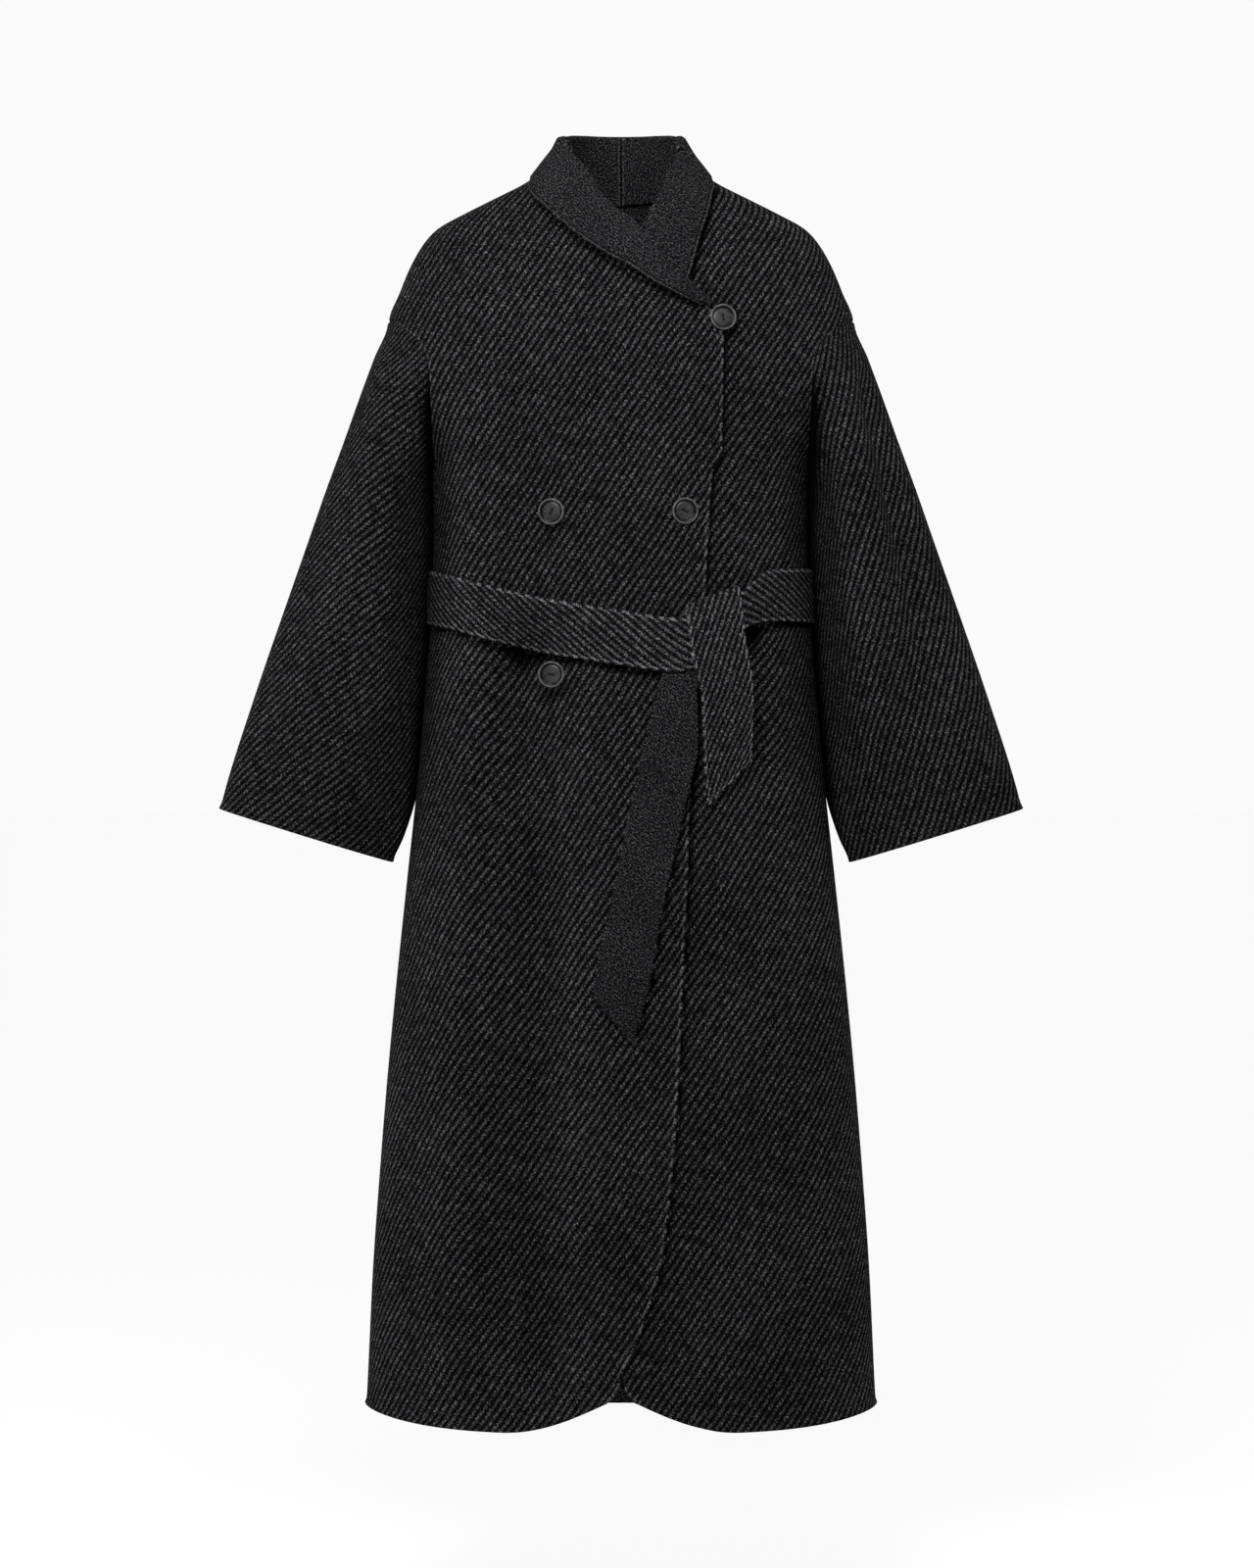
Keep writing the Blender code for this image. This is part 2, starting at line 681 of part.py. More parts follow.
def hanging_strip(name, table, material, steps):
    """A strip of the belt that hangs on the front, between its two edges."""
    rows = [(i / (len(table) - 1), *row) for i, row in enumerate(table)]
    grid = []
    for at in np.linspace(0, 1, steps + 1):
        left_x, left_z, right_x, right_z, clear = (along(rows, i, at) for i in range(1, 6))
        line = []
        for share in BELT_ACROSS:
            x = left_x + (right_x - left_x) * share
            z = left_z + (right_z - left_z) * share
            line.append(on_body("front", x, z, clear + WALL / 2))
        grid.append(line)
    grid = np.array(grid)
    normals = grid_normals(grid)
    wall(name, grid + normals * WALL / 2, grid - normals * WALL / 2, material)


def button(name, x, z, lift):
    """A turned button with a raised rim and a shallow dish, seated on the upper front."""
    mesh = bpy.data.meshes.new(name)
    points = [(r * BUTTON_RADIUS, 0.0, h * BUTTON_THICKNESS) for r, h in BUTTON_PROFILE]
    mesh.from_pydata(points, [(i, i + 1) for i in range(len(points) - 1)], [])
    mesh.materials.append(finish("horn"))
    piece = bpy.data.objects.new(name, mesh)
    COAT.objects.link(piece)
    turned = piece.modifiers.new("turned", "SCREW")
    turned.steps = BUTTON_SIDES
    turned.render_steps = BUTTON_SIDES
    turned.use_merge_vertices = True
    turned.merge_threshold = BUTTON_MERGE
    turned.use_smooth_shade = True
    seat = on_body("front", x, z, 0.0)
    normal = body_normal("front", seat)
    place = seat + normal * (BUTTON_CLEAR + lift + max(0.0, fold_height("front", x, z)))
    facing = Vector(normal).to_track_quat("Z", "Y").to_matrix().to_4x4()
    piece.matrix_world = Matrix.Translation(place) @ facing


clear_scene()
COAT = bpy.data.collections.new("belted_coat")
bpy.context.scene.collection.children.link(COAT)
back()
front("front_right", -1, UPPER)
front("front_left", 1, LOWER)
sleeve("sleeve_right", -1)
sleeve("sleeve_left", 1)
collar("collar_right", -1, UPPER_WING, UPPER)
collar("collar_left", 1, LOWER_WING, LOWER)
belt()
hanging_strip("belt_knot", KNOT_TAIL, "wool_face", KNOT_STEPS)
hanging_strip("belt_tail", LONG_TAIL, "wool_reverse", TAIL_STEPS)
for label, x, z, lift in BUTTONS:
    button(label, x, z, lift)
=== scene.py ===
"""The looks of the belted double-breasted coat.

Each cloth piece is a fine shell on its solid's form, with round edges, soft folds and a cloth map in metres
that the woven materials follow. Metres, +Z up, front at -Y, the wearer's right at -X, origin between the
neck points.
"""

import math
from functools import cache, partial

import bmesh
import bpy
import numpy as np
from mathutils import Matrix, Vector


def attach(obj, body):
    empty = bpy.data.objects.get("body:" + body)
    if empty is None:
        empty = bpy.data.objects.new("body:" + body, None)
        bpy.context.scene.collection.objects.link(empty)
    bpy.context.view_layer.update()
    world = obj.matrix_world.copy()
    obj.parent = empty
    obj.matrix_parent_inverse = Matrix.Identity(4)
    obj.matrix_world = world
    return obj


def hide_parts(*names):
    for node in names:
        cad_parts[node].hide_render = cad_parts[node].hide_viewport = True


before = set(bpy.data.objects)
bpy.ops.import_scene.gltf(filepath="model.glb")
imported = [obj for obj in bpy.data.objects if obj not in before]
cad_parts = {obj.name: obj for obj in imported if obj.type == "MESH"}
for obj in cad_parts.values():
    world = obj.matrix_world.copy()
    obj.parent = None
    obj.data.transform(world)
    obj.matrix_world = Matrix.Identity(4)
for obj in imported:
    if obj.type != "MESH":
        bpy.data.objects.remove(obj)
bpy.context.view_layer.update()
BODY_NAME = "root"

# Sides of the wearer, as signs of x
RIGHT, LEFT, BOTH = -1, 1, 0
FRONT_NAMES = {RIGHT: "front_right", LEFT: "front_left"}

# Driving sizes, as in the solids
WALL = 0.003
SEAM_GAP = 0.0004
HEM = -1.229
NECK_TOP = 0.010
BACK_NECK_DIP = 0.020
BACK_NECK_DIP_FROM = -0.060
SHOULDER_TIP = -0.137
UNDERARM = -0.290
ROUNDNESS = 2.35
SLEEVE_ROUNDNESS = 2.15
SECTION_SAMPLES = 120
SLOPE_STEP = 0.0005
LEAST_LENGTH = 1e-12

# Grid steps of the shells
SKIRT_STEPS = 150
ARMHOLE_STEPS = 40
SHOULDER_STEPS = 34
FRONT_STEPS = 66
BACK_STEPS = 110
SLEEVE_STEPS = 110
SLEEVE_ROUND = 96
COLLAR_STEPS = 90
BELT_FRONT_STEPS = 80
BELT_SIDE_STEPS = 30
BELT_BACK_STEPS = 90
BELT_ACROSS_STEPS = 14
KNOT_STEPS = 90
TAIL_STEPS = 80
RIM_STEPS = 5
# Share of the last step of a grid that its round edge may take up
RIM_ROOM = 0.45

# Body sections: height, half width, depth in front, depth behind
BODY = (
    (HEM, 0.2545, 0.128, 0.122),
    (-1.090, 0.2484, 0.127, 0.120),
    (-0.992, 0.2416, 0.126, 0.118),
    (-0.894, 0.2337, 0.125, 0.116),
    (-0.796, 0.2244, 0.124, 0.114),
    (-0.698, 0.2141, 0.122, 0.111),
    (-0.600, 0.2035, 0.119, 0.107),
    (-0.500, 0.1945, 0.116, 0.103),
    (-0.420, 0.1890, 0.115, 0.101),
    (-0.350, 0.1865, 0.118, 0.104),
    (UNDERARM, 0.1880, 0.120, 0.109),
    (-0.250, 0.2055, 0.1205, 0.1115),
    (-0.220, 0.2200, 0.120, 0.113),
    (-0.190, 0.2300, 0.118, 0.114),
    (-0.163, 0.2335, 0.115, 0.114),
    (SHOULDER_TIP, 0.2320, 0.111, 0.113),
    (-0.110, 0.2215, 0.105, 0.110),
    (-0.085, 0.2112, 0.098, 0.106),
    (-0.061, 0.1975, 0.091, 0.100),
    (-0.047, 0.1847, 0.086, 0.096),
    (-0.031, 0.1562, 0.079, 0.090),
    (-0.016, 0.1264, 0.071, 0.083),
    (0.000, 0.0955, 0.062, 0.075),
    (NECK_TOP, 0.0830, 0.056, 0.072),
    (0.030, 0.0720, 0.052, 0.0705),
    (0.060, 0.0560, 0.045, 0.070),
)
HALF_WIDTH, FRONT_DEPTH, BACK_DEPTH = 1, 2, 3

# Armhole seam as seen from the front: height, distance from the middle
ARMHOLE = (
    (UNDERARM, 0.1880),
    (-0.240, 0.1886),
    (-0.186, 0.1905),
    (-0.163, 0.2000),
    (-0.152, 0.2115),
    (SHOULDER_TIP, 0.2320),
)

# Inner edges of the fronts: height, how far the upper front and the lower front pass the middle
FRONT_EDGES = (
    (HEM, -0.0300, -0.0300),
    (-1.200, -0.0142, -0.0142),
    (-1.188, -0.0027, -0.0027),
    (-1.171, 0.0021, 0.0021),
    (-1.148, 0.0145, 0.0145),
    (-1.121, 0.0241, 0.0241),
    (-1.059, 0.0413, 0.0413),
    (-0.935, 0.0538, 0.0538),
    (-0.778, 0.0614, 0.0614),
    (-0.654, 0.0672, 0.0672),
    (-0.417, 0.0825, 0.0825),
    (-0.294, 0.0901, 0.0901),
    (-0.273, 0.0997, 0.0997),
    (-0.159, 0.1006, 0.0999),
    (-0.1454, 0.0997, 0.0600),
    (-0.1359, 0.0892, 0.0000),
    (-0.1215, 0.0748, -0.0240),
    (-0.087, 0.0365, -0.0350),
    (-0.060, -0.0018, -0.0450),
    (-0.0225, -0.0425, -0.0660),
    (-0.006, -0.0750, -0.0770),
    (0.000, -0.0785, -0.0795),
    (NECK_TOP, -0.0822, -0.0822),
)
UPPER, LOWER = 1, 2

# The hem hangs a little lower in the middle and rises towards the sides
HEM_DIP = 0.0050
HEM_RISE = 0.0160
HEM_RISE_POWER = 4.5
HEM_REACH = 0.090

# Round lower corner of each front
CORNER_RISE = 0.030
CORNER_REACH = 0.100
CORNER_POWER = 2.2
CORNER_HEIGHT = 0.140

# How far the lower front lies under the upper one: height, distance
TUCK = (
    (HEM, 0.0050),
    (-0.520, 0.0060),
    (-0.400, 0.0100),
    (-0.230, 0.0100),
    (-0.150, 0.0125),
    (-0.090, 0.0125),
    (-0.050, 0.0105),
    (-0.020, 0.0020),
    (NECK_TOP, 0.0000),
)
# Distance past the upper front's edge where that ends, over which it fades, and x that it reaches at least
TUCK_MARGIN = 0.0045
TUCK_FADE = 0.026
TUCK_LEAST_REACH = 0.070

# Soft folds of the body: panel, x of the middle at its top and bottom, heights of its top and bottom, half
# width, how far it stands out (in is negative), how far its ends run out. The first six are in the solids.
FOLDS = (
    ("front", -0.070, -0.118, -0.500, -1.180, 0.034, -0.0060, 0.16),
    ("front", -0.150, -0.176, -0.560, -1.200, 0.030, 0.0040, 0.16),
    ("front", 0.130, 0.150, -0.520, -1.150, 0.034, -0.0045, 0.16),
    ("back", -0.060, -0.085, -0.520, -1.190, 0.036, -0.0060, 0.16),
    ("back", 0.055, 0.100, -0.560, -1.180, 0.034, -0.0060, 0.16),
    ("back", 0.000, 0.010, -0.600, -1.200, 0.030, 0.0040, 0.16),
    ("front", -0.078, -0.084, -0.070, -0.500, 0.032, -0.0080, 0.10),
    ("front", -0.150, -0.150, -0.200, -0.470, 0.026, 0.0050, 0.08),
    ("front", -0.080, -0.072, -0.415, -1.225, 0.030, -0.0220, 0.06),
    ("front", -0.148, -0.160, -0.435, -1.225, 0.028, 0.0090, 0.07),
    ("front", -0.108, -0.114, -0.440, -0.640, 0.022, -0.0140, 0.05),
    ("front", 0.116, 0.121, -0.150, -0.405, 0.020, -0.0036, 0.08),
    ("front", 0.108, 0.116, -0.440, -0.760, 0.018, -0.0040, 0.07),
    ("front", 0.127, 0.140, -0.437, -0.620, 0.014, -0.0130, 0.05),
    ("front", 0.075, 0.069, -0.520, -0.690, 0.011, -0.0100, 0.05),
    ("back", -0.096, -0.105, -0.100, -0.405, 0.030, -0.0045, 0.10),
    ("back", 0.080, 0.094, -0.165, -0.405, 0.026, -0.0040, 0.08),
    ("back", -0.128, -0.152, -0.430, -1.010, 0.026, -0.0070, 0.07),
    ("back", 0.140, 0.166, -0.430, -1.130, 0.030, -0.0055, 0.09),
    ("back", 0.026, 0.034, -0.430, -0.790, 0.020, -0.0045, 0.08),
)

# Sleeve rings: length along the sleeve, outer x and z, inner x and z, half depth, y of the middle
SLEEVE = (
    (0.00, 0.2330, -0.1380, 0.1883, -0.2910, 0.0770, 0.000),
    (0.05, 0.2430, -0.1650, 0.1905, -0.3010, 0.0800, 0.000),
    (0.12, 0.2590, -0.2080, 0.1920, -0.3130, 0.0820, 0.000),
    (0.20, 0.2765, -0.2570, 0.1925, -0.3310, 0.0815, 0.000),
    (0.30, 0.2945, -0.3060, 0.1930, -0.3600, 0.0785, -0.002),
    (0.40, 0.3115, -0.3550, 0.1945, -0.4000, 0.0740, -0.004),
    (0.50, 0.3285, -0.4040, 0.1970, -0.4470, 0.0690, -0.006),
    (0.70, 0.3622, -0.5020, 0.2040, -0.5500, 0.0580, -0.009),
    (0.92, 0.3930, -0.5980, 0.2200, -0.6490, 0.0440, -0.011),
    (1.00, 0.4000, -0.6250, 0.2293, -0.6780, 0.0400, -0.012),
)
# How far a sleeve's inner edge passes behind the body: length along the sleeve, inwards, backwards
SLEEVE_INNER = (
    (0.00, 0.0000, 0.000),
    (0.04, 0.0026, 0.007),
    (0.10, 0.0064, 0.019),
    (0.20, 0.0076, 0.028),
    (0.50, 0.0075, 0.030),
    (0.70, 0.0068, 0.033),
    (0.82, 0.0074, 0.028),
    (0.94, 0.0030, 0.014),
    (1.00, 0.0000, 0.008),
)
# Share of the way to the inner edge from which it does
SLEEVE_INNER_FROM = 0.62
# The sleeve's head: how far it goes in under the seam, sinks and swells, where, and its share of the sleeve
ARMHOLE_TUCK = 0.0022
ARMHOLE_SINK = 0.0012
ARMHOLE_SWELL = 0.0022
ARMHOLE_SWELL_AT = 0.006
SLEEVE_HEAD = 1 / 16

# Soft folds of the sleeves: side, place along the sleeve at its start and end, place round it in turns at
# both, half width, height. A quarter of a turn is in front, half a turn beside the body. The first three
# are in the solids.
SLEEVE_FOLDS = (
    (BOTH, 0.20, 0.62, 0.17, 0.17, 0.07, -0.0050),
    (BOTH, 0.35, 0.80, 0.33, 0.33, 0.06, 0.0040),
    (BOTH, 0.25, 0.70, 0.80, 0.80, 0.08, -0.0050),
    (LEFT, 0.02, 0.80, 0.12, 0.215, 0.048, -0.0130),
    (LEFT, 0.08, 0.80, 0.30, 0.335, 0.045, 0.0060),
    (RIGHT, 0.10, 0.80, 0.20, 0.24, 0.060, 0.0030),
    (RIGHT, 0.45, 0.92, 0.10, 0.16, 0.040, -0.0025),
    (RIGHT, 0.18, 0.66, 0.66, 0.72, 0.045, -0.0045),
    (LEFT, 0.28, 0.86, 0.70, 0.66, 0.050, -0.0045),
)
SLEEVE_FOLD_RUN = 0.12

# Collar sections behind the neck: roll x and height, outer edge x and height, neck seam x and height
NECK_SECTIONS = (
    (0.0000, 0.0545, 0.0000, -0.0240, 0.0000, -0.0078),
    (0.0300, 0.0545, 0.0500, -0.0210, 0.0380, -0.0040),
    (0.0480, 0.0531, 0.0840, -0.0120, 0.0680, 0.0045),
    (0.0570, 0.0503, 0.0880, 0.0055, 0.0830, 0.0122),
)
# Collar sections of the two wings: the same, but the neck seam is given by its height alone, and the last
# value is how far the outer edge stands off the front
UPPER_WING = (
    (0.0498, 0.0352, 0.0890, 0.0010, 0.0060, 0.0016),
    (0.0480, 0.0262, 0.0905, -0.0140, -0.0010, 0.0030),
    (0.0295, -0.0015, 0.0690, -0.0405, -0.0225, 0.0070),
    (-0.0010, -0.0390, 0.0385, -0.0672, -0.0520, 0.0092),
    (-0.0225, -0.0585, 0.0115, -0.0850, -0.0700, 0.0096),
    (-0.0560, -0.0970, -0.0340, -0.1110, -0.0955, 0.0080),
    (-0.0830, -0.1235, -0.0705, -0.1280, -0.1230, 0.0054),
    (-0.0890, -0.1300, -0.0800, -0.1318, -0.1295, 0.0044),
)
LOWER_WING = (
    (0.0498, 0.0345, 0.0890, 0.0010, 0.0060, 0.0016),
    (0.0545, 0.0230, 0.0910, -0.0090, -0.0010, 0.0030),
    (0.0445, -0.0025, 0.0884, -0.0228, -0.0225, 0.0060),
    (0.0335, -0.0268, 0.0820, -0.0492, -0.0390, 0.0074),
    (0.0225, -0.0469, 0.0751, -0.0734, -0.0600, 0.0074),
    (0.0120, -0.0660, 0.0683, -0.0979, -0.0810, 0.0064),
    (0.0060, -0.0800, 0.0640, -0.1090, -0.0970, 0.0050),
)
# How far the roll, the outer edge behind and the neck seam lie off the body's surface, and the stand's gap
NECK_ROLL_LIFT = -0.0010
WING_ROLL_LIFT = 0.0022
EDGE_LIFT = 0.0020
SEAM_LIFT = -0.0042
COLLAR_SEAM_GAP = -0.0040
# At the sides of the neck: how far the roll is drawn in, the angle round the body and the angle over which,
# and how much flatter the fall is there
SIDE_SINK = 0.0075
SIDE_SINK_ANGLE = 1.62
SIDE_SINK_REACH = 0.33
SIDE_FLATNESS = 2.0
# Radius of the roll, swell of the fall, and points of the stand, the roll and the fall
ROLL_RADIUS = 0.0026
FALL_SWELL = 0.0036
STAND_POINTS = 9
ROLL_POINTS = 13
FALL_POINTS = 20

# Belt
BELT_WIDTH = 0.053
BELT_CLEAR = 0.0009
# The belt in front: x, height of its middle, distance of its back from the body, width
BELT_FRONT = (
    (-0.1940, -0.4130, 0.0009, BELT_WIDTH),
    (-0.1340, -0.4300, 0.0030, BELT_WIDTH),
    (-0.0715, -0.4450, 0.0060, BELT_WIDTH),
    (0.0010, -0.4570, 0.0085, BELT_WIDTH),
    (0.0600, -0.4645, 0.0098, 0.0520),
    (0.0860, -0.4620, 0.0098, 0.0400),
    (0.1120, -0.4320, 0.0098, 0.0360),
    (0.1450, -0.4148, 0.0050, 0.0510),
    (0.1940, -0.4130, 0.0009, BELT_WIDTH),
)
BELT_BACK_HEIGHT = -0.413
# The belt behind: the same columns, level all the way
BELT_BACK = tuple((x, BELT_BACK_HEIGHT, BELT_CLEAR, BELT_WIDTH) for x in (-0.25, 0.25))
BELT_CROWN = 0.0006
KNOT_LEFT_END = 0.0895
# Wrap and short tail: left x and height, right x and height, distance of its back from the body
KNOT_TAIL = (
    (0.0660, -0.4640, 0.1140, -0.4470, 0.0056),
    (0.0630, -0.4440, 0.1120, -0.4240, 0.0056),
    (0.0612, -0.4300, 0.1108, -0.4090, 0.0090),
    (0.0608, -0.4280, 0.1105, -0.4065, 0.0125),
    (0.0612, -0.4310, 0.1110, -0.4120, 0.0150),
    (0.0630, -0.4480, 0.1130, -0.4280, 0.0158),
    (0.0662, -0.4740, 0.1166, -0.4620, 0.0150),
    (0.0720, -0.4960, 0.1224, -0.4920, 0.0138),
    (0.0770, -0.5200, 0.1262, -0.5200, 0.0085),
    (0.0790, -0.5620, 0.1268, -0.5500, 0.0050),
    (0.0835, -0.6230, 0.1262, -0.5780, 0.0030),
)
# Long tail: the same columns
LONG_TAIL = (
    (0.0385, -0.4760, 0.0720, -0.4760, 0.0056),
    (0.0390, -0.4950, 0.0728, -0.4950, 0.0056),
    (0.0242, -0.5535, 0.0748, -0.5560, 0.0050),
    (0.0070, -0.6320, 0.0604, -0.6290, 0.0040),
    (-0.0103, -0.7172, 0.0413, -0.7172, 0.0034),
    (-0.0237, -0.7780, 0.0289, -0.7900, 0.0030),
    (-0.0285, -0.8080, 0.0117, -0.8545, 0.0030),
)

# Buttons
BUTTON_RADIUS = 0.0130
BUTTON_THICKNESS = 0.0040
BUTTON_CLEAR = 0.0003
BUTTON_SIDES = 72
# Turned profile with a dish and a raised rim: shares of the radius and of the thickness
BUTTON_PROFILE = (
    (0.00, 0.42),
    (0.40, 0.42),
    (0.62, 0.41),
    (0.68, 0.36),
    (0.73, 0.30),
    (0.78, 0.36),
    (0.82, 0.66),
    (0.85, 0.90),
    (0.88, 0.98),
    (0.92, 1.00),
    (0.96, 0.93),
    (0.985, 0.80),
    (1.00, 0.58),
    (0.985, 0.34),
    (0.93, 0.12),
    (0.80, 0.02),
    (0.00, 0.00),
)
HOLE_RADIUS = 0.0010
HOLE_APART = 0.0044
HOLE_SIDES = 20
THREAD_RADIUS = 0.00048
THREAD_RISE = 0.0003
THREAD_SIDES = 10
# The thread's stitch: height where it starts, share of the way out where it bends, rise of its middle
THREAD_FOOT = 0.0003
THREAD_BEND = 0.8
THREAD_CROWN = 1.2
BUTTON_SMOOTH_DEGREES = 40
# Name, x, height, further lift, turn of its two holes in degrees
BUTTONS = (
    ("button_top", 0.0997, -0.1435, 0.0004, 100),
    ("button_upper_right", -0.0678, -0.3338, 0.0, 66),
    ("button_upper_left", 0.0624, -0.3330, 0.0, -30),
    ("button_lower_right", -0.0678, -0.4930, 0.0, -12),
    ("button_lower_left", 0.0620, -0.4930, 0.0, 50),
)

# Turned edges: how far they stand out and how wide they are
EDGE_SWELL = 0.0014
EDGE_REACH = 0.0055
# Distance given in a map to what lies near no edge
FAR = 0.5
# How far the collar's halves and the side seams lap
SEAM_OVERLAP = 0.0008
SEAM_LAP = 0.0007
# Painted close shade beside what lies over a front: row of the knot from which it does, reach, depth
COVER_ROW = 4
COVER_REACH = 0.0045
PAINTED_COVER_SHADE = 0.85
# The same painted shade on a sleeve beside the body: share of the distance that is read, height above which
# it fades, and how fast
SLEEVE_COVER = 0.6
SLEEVE_COVER_TOP = -0.225
SLEEVE_COVER_FADE = 0.30
# Places under the belt where the painted shade reaches further: x, half width, and the share by which it
# does
BELT_HOLLOWS = ((-0.105, 0.036), (0.128, 0.020))
BELT_HOLLOW = 0.80
# Painted highlight along a finished edge, where the rope ends catch the light: its middle, its half width
# and how much lighter it is
EDGE_HIGHLIGHT_AT = 0.0012
EDGE_HIGHLIGHT_HALF = 0.0015
EDGE_HIGHLIGHT = 0.7
# More cloth than height on the sloping shoulders: how much, height from which it starts
SHOULDER_STRETCH = 0.2
STRETCH_FROM = -0.17
# A sleeve's course, and the middle of its front across that course
SLEEVE_AXIS = (0.130, 0.0, -0.440)
SLEEVE_MIDDLE = 0.131
# Rows of the sleeve whose girth gives the map of the rows above them
SLEEVE_TREND = slice(14, 30)

# Weave: angle of the wales from the weft, distance between wales, length of a float along a wale
WALE_ANGLE = math.radians(56)
WALE_PITCH = 0.00648
FLOAT_LENGTH = 0.0042
FLOAT_SLANT = 0.9
WALE_HEIGHT = 0.0011
# How far the wales wander slowly and quickly, and the floats along them, in pitches
SLOW_WANDER, QUICK_WANDER, FLOAT_WANDER = 0.8, 0.78, 0.8
FLOAT_SEED = 3.7
# Steps of the yarns' shades and of their fibres, from wale to wale and along a wale
SHADE_STEPS = (7.1, 0.5)
FIBRE_STEPS = (6.0, 1.5)
# Noises of the face: scale, detail, roughness
FACE_NOISES = {
    "slow": (14.0, 1.0, 0.5),
    "quick": (380.0, 3.0, 0.65),
    "grain": (640.0, 2.0, 0.7),
    "cloud": (7.0, 2.0, 0.5),
    "patch": (105.0, 2.0, 0.5),
    "shade": (1.0, 2.0, 0.5),
    "fibres": (1.0, 3.0, 0.65),
}
# How each changes the face's tone: factor, what is added
FACE_CHANGES = {
    "rope": (0.68, 0.27),
    "strand": (0.26, 0.74),
    "shade": (0.6, 0.35),
    "fibres": (2.6, -0.40),
    "grain": (5.0, -1.48),
    "patch": (0.6, 0.70),
    "cloud": (0.4, 0.80),
}
ROPE_RELIEF, FIBRE_RELIEF = 0.8, 0.25
HUE_NOISE = (130.0, 2.0, 0.5)
# The reverse: distance between its ribs, how far they wander, turn of its weave on the long tail
RIB_PITCH = 0.0026
RIB_WANDER = 5.0
TAIL_SLANT = math.radians(35)
STREAK_STEPS = (360.0, 620.0)
REVERSE_NOISES = {
    "fine": (760.0, 3.0, 0.7),
    "streak": (1.0, 3.0, 0.65),
    "cloud": (16.0, 2.0, 0.5),
    "wobble": (90.0, 2.0, 0.5),
}
# What makes up the reverse's tone, what is added to it, and what changes it: factor, what is added
FINE_TONE, STREAK_TONE, RIB_TONE, REVERSE_START = 3.2, 2.9, 0.10, -2.73
REVERSE_CHANGES = {
    "cloud": (0.5, 0.75),
    "ridge_highlight": (1.0, 1.0),
    "groove": (-0.45, 1.0),
}
RIB_RELIEF, FINE_RELIEF, GROOVE_RELIEF = 0.20, 0.5, -0.9
REVERSE_HEIGHT = 0.0007
# Lines in the reverse, the sunk ones with painted shade and the ones beside them with painted highlight:
# measured from a finished edge or from the seam, distance from it, half width
SUNK_LINES = (
    ("edge", 0.0034, 0.0005),
    ("seam", 0.0000, 0.0004),
)
HIGHLIGHT_LINES = (
    ("edge", 0.0014, 0.0007),
    ("seam", 0.0018, 0.0007),
)

# Tones of the materials, from dark to light: place on the ramp, colour
FACE_TONES = (
    (0.00, (0.0003, 0.0003, 0.0003)),
    (0.15, (0.0020, 0.0020, 0.0021)),
    (0.34, (0.0123, 0.0121, 0.0128)),
    (0.58, (0.0430, 0.0424, 0.0444)),
    (0.95, (0.1660, 0.1650, 0.1698)),
)
REVERSE_TONES = (
    (0.03, (0.0014, 0.0014, 0.0015)),
    (0.40, (0.0095, 0.0093, 0.0099)),
    (0.62, (0.0250, 0.0247, 0.0260)),
    (0.95, (0.0900, 0.0890, 0.0930)),
)
# Painted light: how much lighter the belt's copy of the face cloth is, as the belt catches more light
BELT_PAINTED_LIGHT = 1.40
YARN_HUES = (
    (0.30, (1.00, 0.99, 0.90)),
    (0.50, (0.97, 0.96, 1.00)),
    (0.70, (0.90, 0.92, 1.00)),
)
HORN_TONES = (
    (0.00, (0.0010, 0.0010, 0.0010)),
    (0.35, (0.0180, 0.0172, 0.0172)),
    (0.65, (0.0400, 0.0386, 0.0386)),
    (1.00, (0.1100, 0.1080, 0.1080)),
)
# Painted shade in the button's groove and painted highlight on its rim, as rings of its tone: share of the
# radius, change of its place on the ramp
PAINTED_BUTTON_RINGS = (
    (0.00, 0.00),
    (0.64, 0.00),
    (0.71, -0.50),
    (0.80, -0.50),
    (0.86, 0.20),
    (0.94, 0.45),
    (1.00, 0.10),
)
HORN_RING_MIDDLE = 0.5
HORN_NOISE = (200.0, 3.0, 0.6)
THREAD_TONES = (
    (0.30, (0.0010, 0.0010, 0.0010)),
    (0.70, (0.0060, 0.0058, 0.0060)),
)
THREAD_NOISE = (2400.0, 2.0, 0.5)
# Finishes: roughness, specular level, sheen
FACE_FINISH = (0.95, 0.0, 0.004)
REVERSE_FINISH = (0.95, 0.0, 0.006)
HORN_FINISH = (0.36, 0.22, 0.0)
THREAD_FINISH = (0.8, 0.1, 0.0)
FLOOR_FINISH = (1.0, 0.0, 0.0)
WHITE = (1.0, 1.0, 1.0, 1.0)

# Camera: its place, height of the picture at the coat's middle, sensor in mm, and how far it sees
CAMERA_PLACE = (0.0059, -5.0, -0.600)
PICTURE_HEIGHT = 1.568
SENSOR = 24.0
CLIP_END = 400.0

# Floor: height, half its side, tone, painted glow behind the coat and in front, and the y between which it
# changes
FLOOR_HEIGHT = -1.46
FLOOR_HALF = 150.0
FLOOR_TONE = 0.45
FLOOR_GLOW = 0.577
FLOOR_FRONT_GLOW = 0.08
FLOOR_GLOW_FROM, FLOOR_GLOW_TO = -0.30, 0.45
# Backdrop: brightness behind the coat and in front, and the directions between which it changes
BACKDROP_BRIGHTNESS = 0.956
FRONT_BRIGHTNESS = 0.05
BACKDROP_EDGES = (-0.35, 0.30)
# Name, kind, place, point that it is aimed at, power, size (of a sun, the angle that it fills)
LAMPS = (
    ("left", "SUN", (-3.0, -0.6, 1.0), (0.0, 0.0, -0.5), 1.52, math.radians(24)),
    ("right", "SUN", (3.0, -0.6, 1.0), (0.0, 0.0, -0.5), 0.66, math.radians(24)),
    ("top", "AREA", (-0.20, -1.8, 0.75), (0.16, 0.0, -0.3), 41.0, 0.8),
)


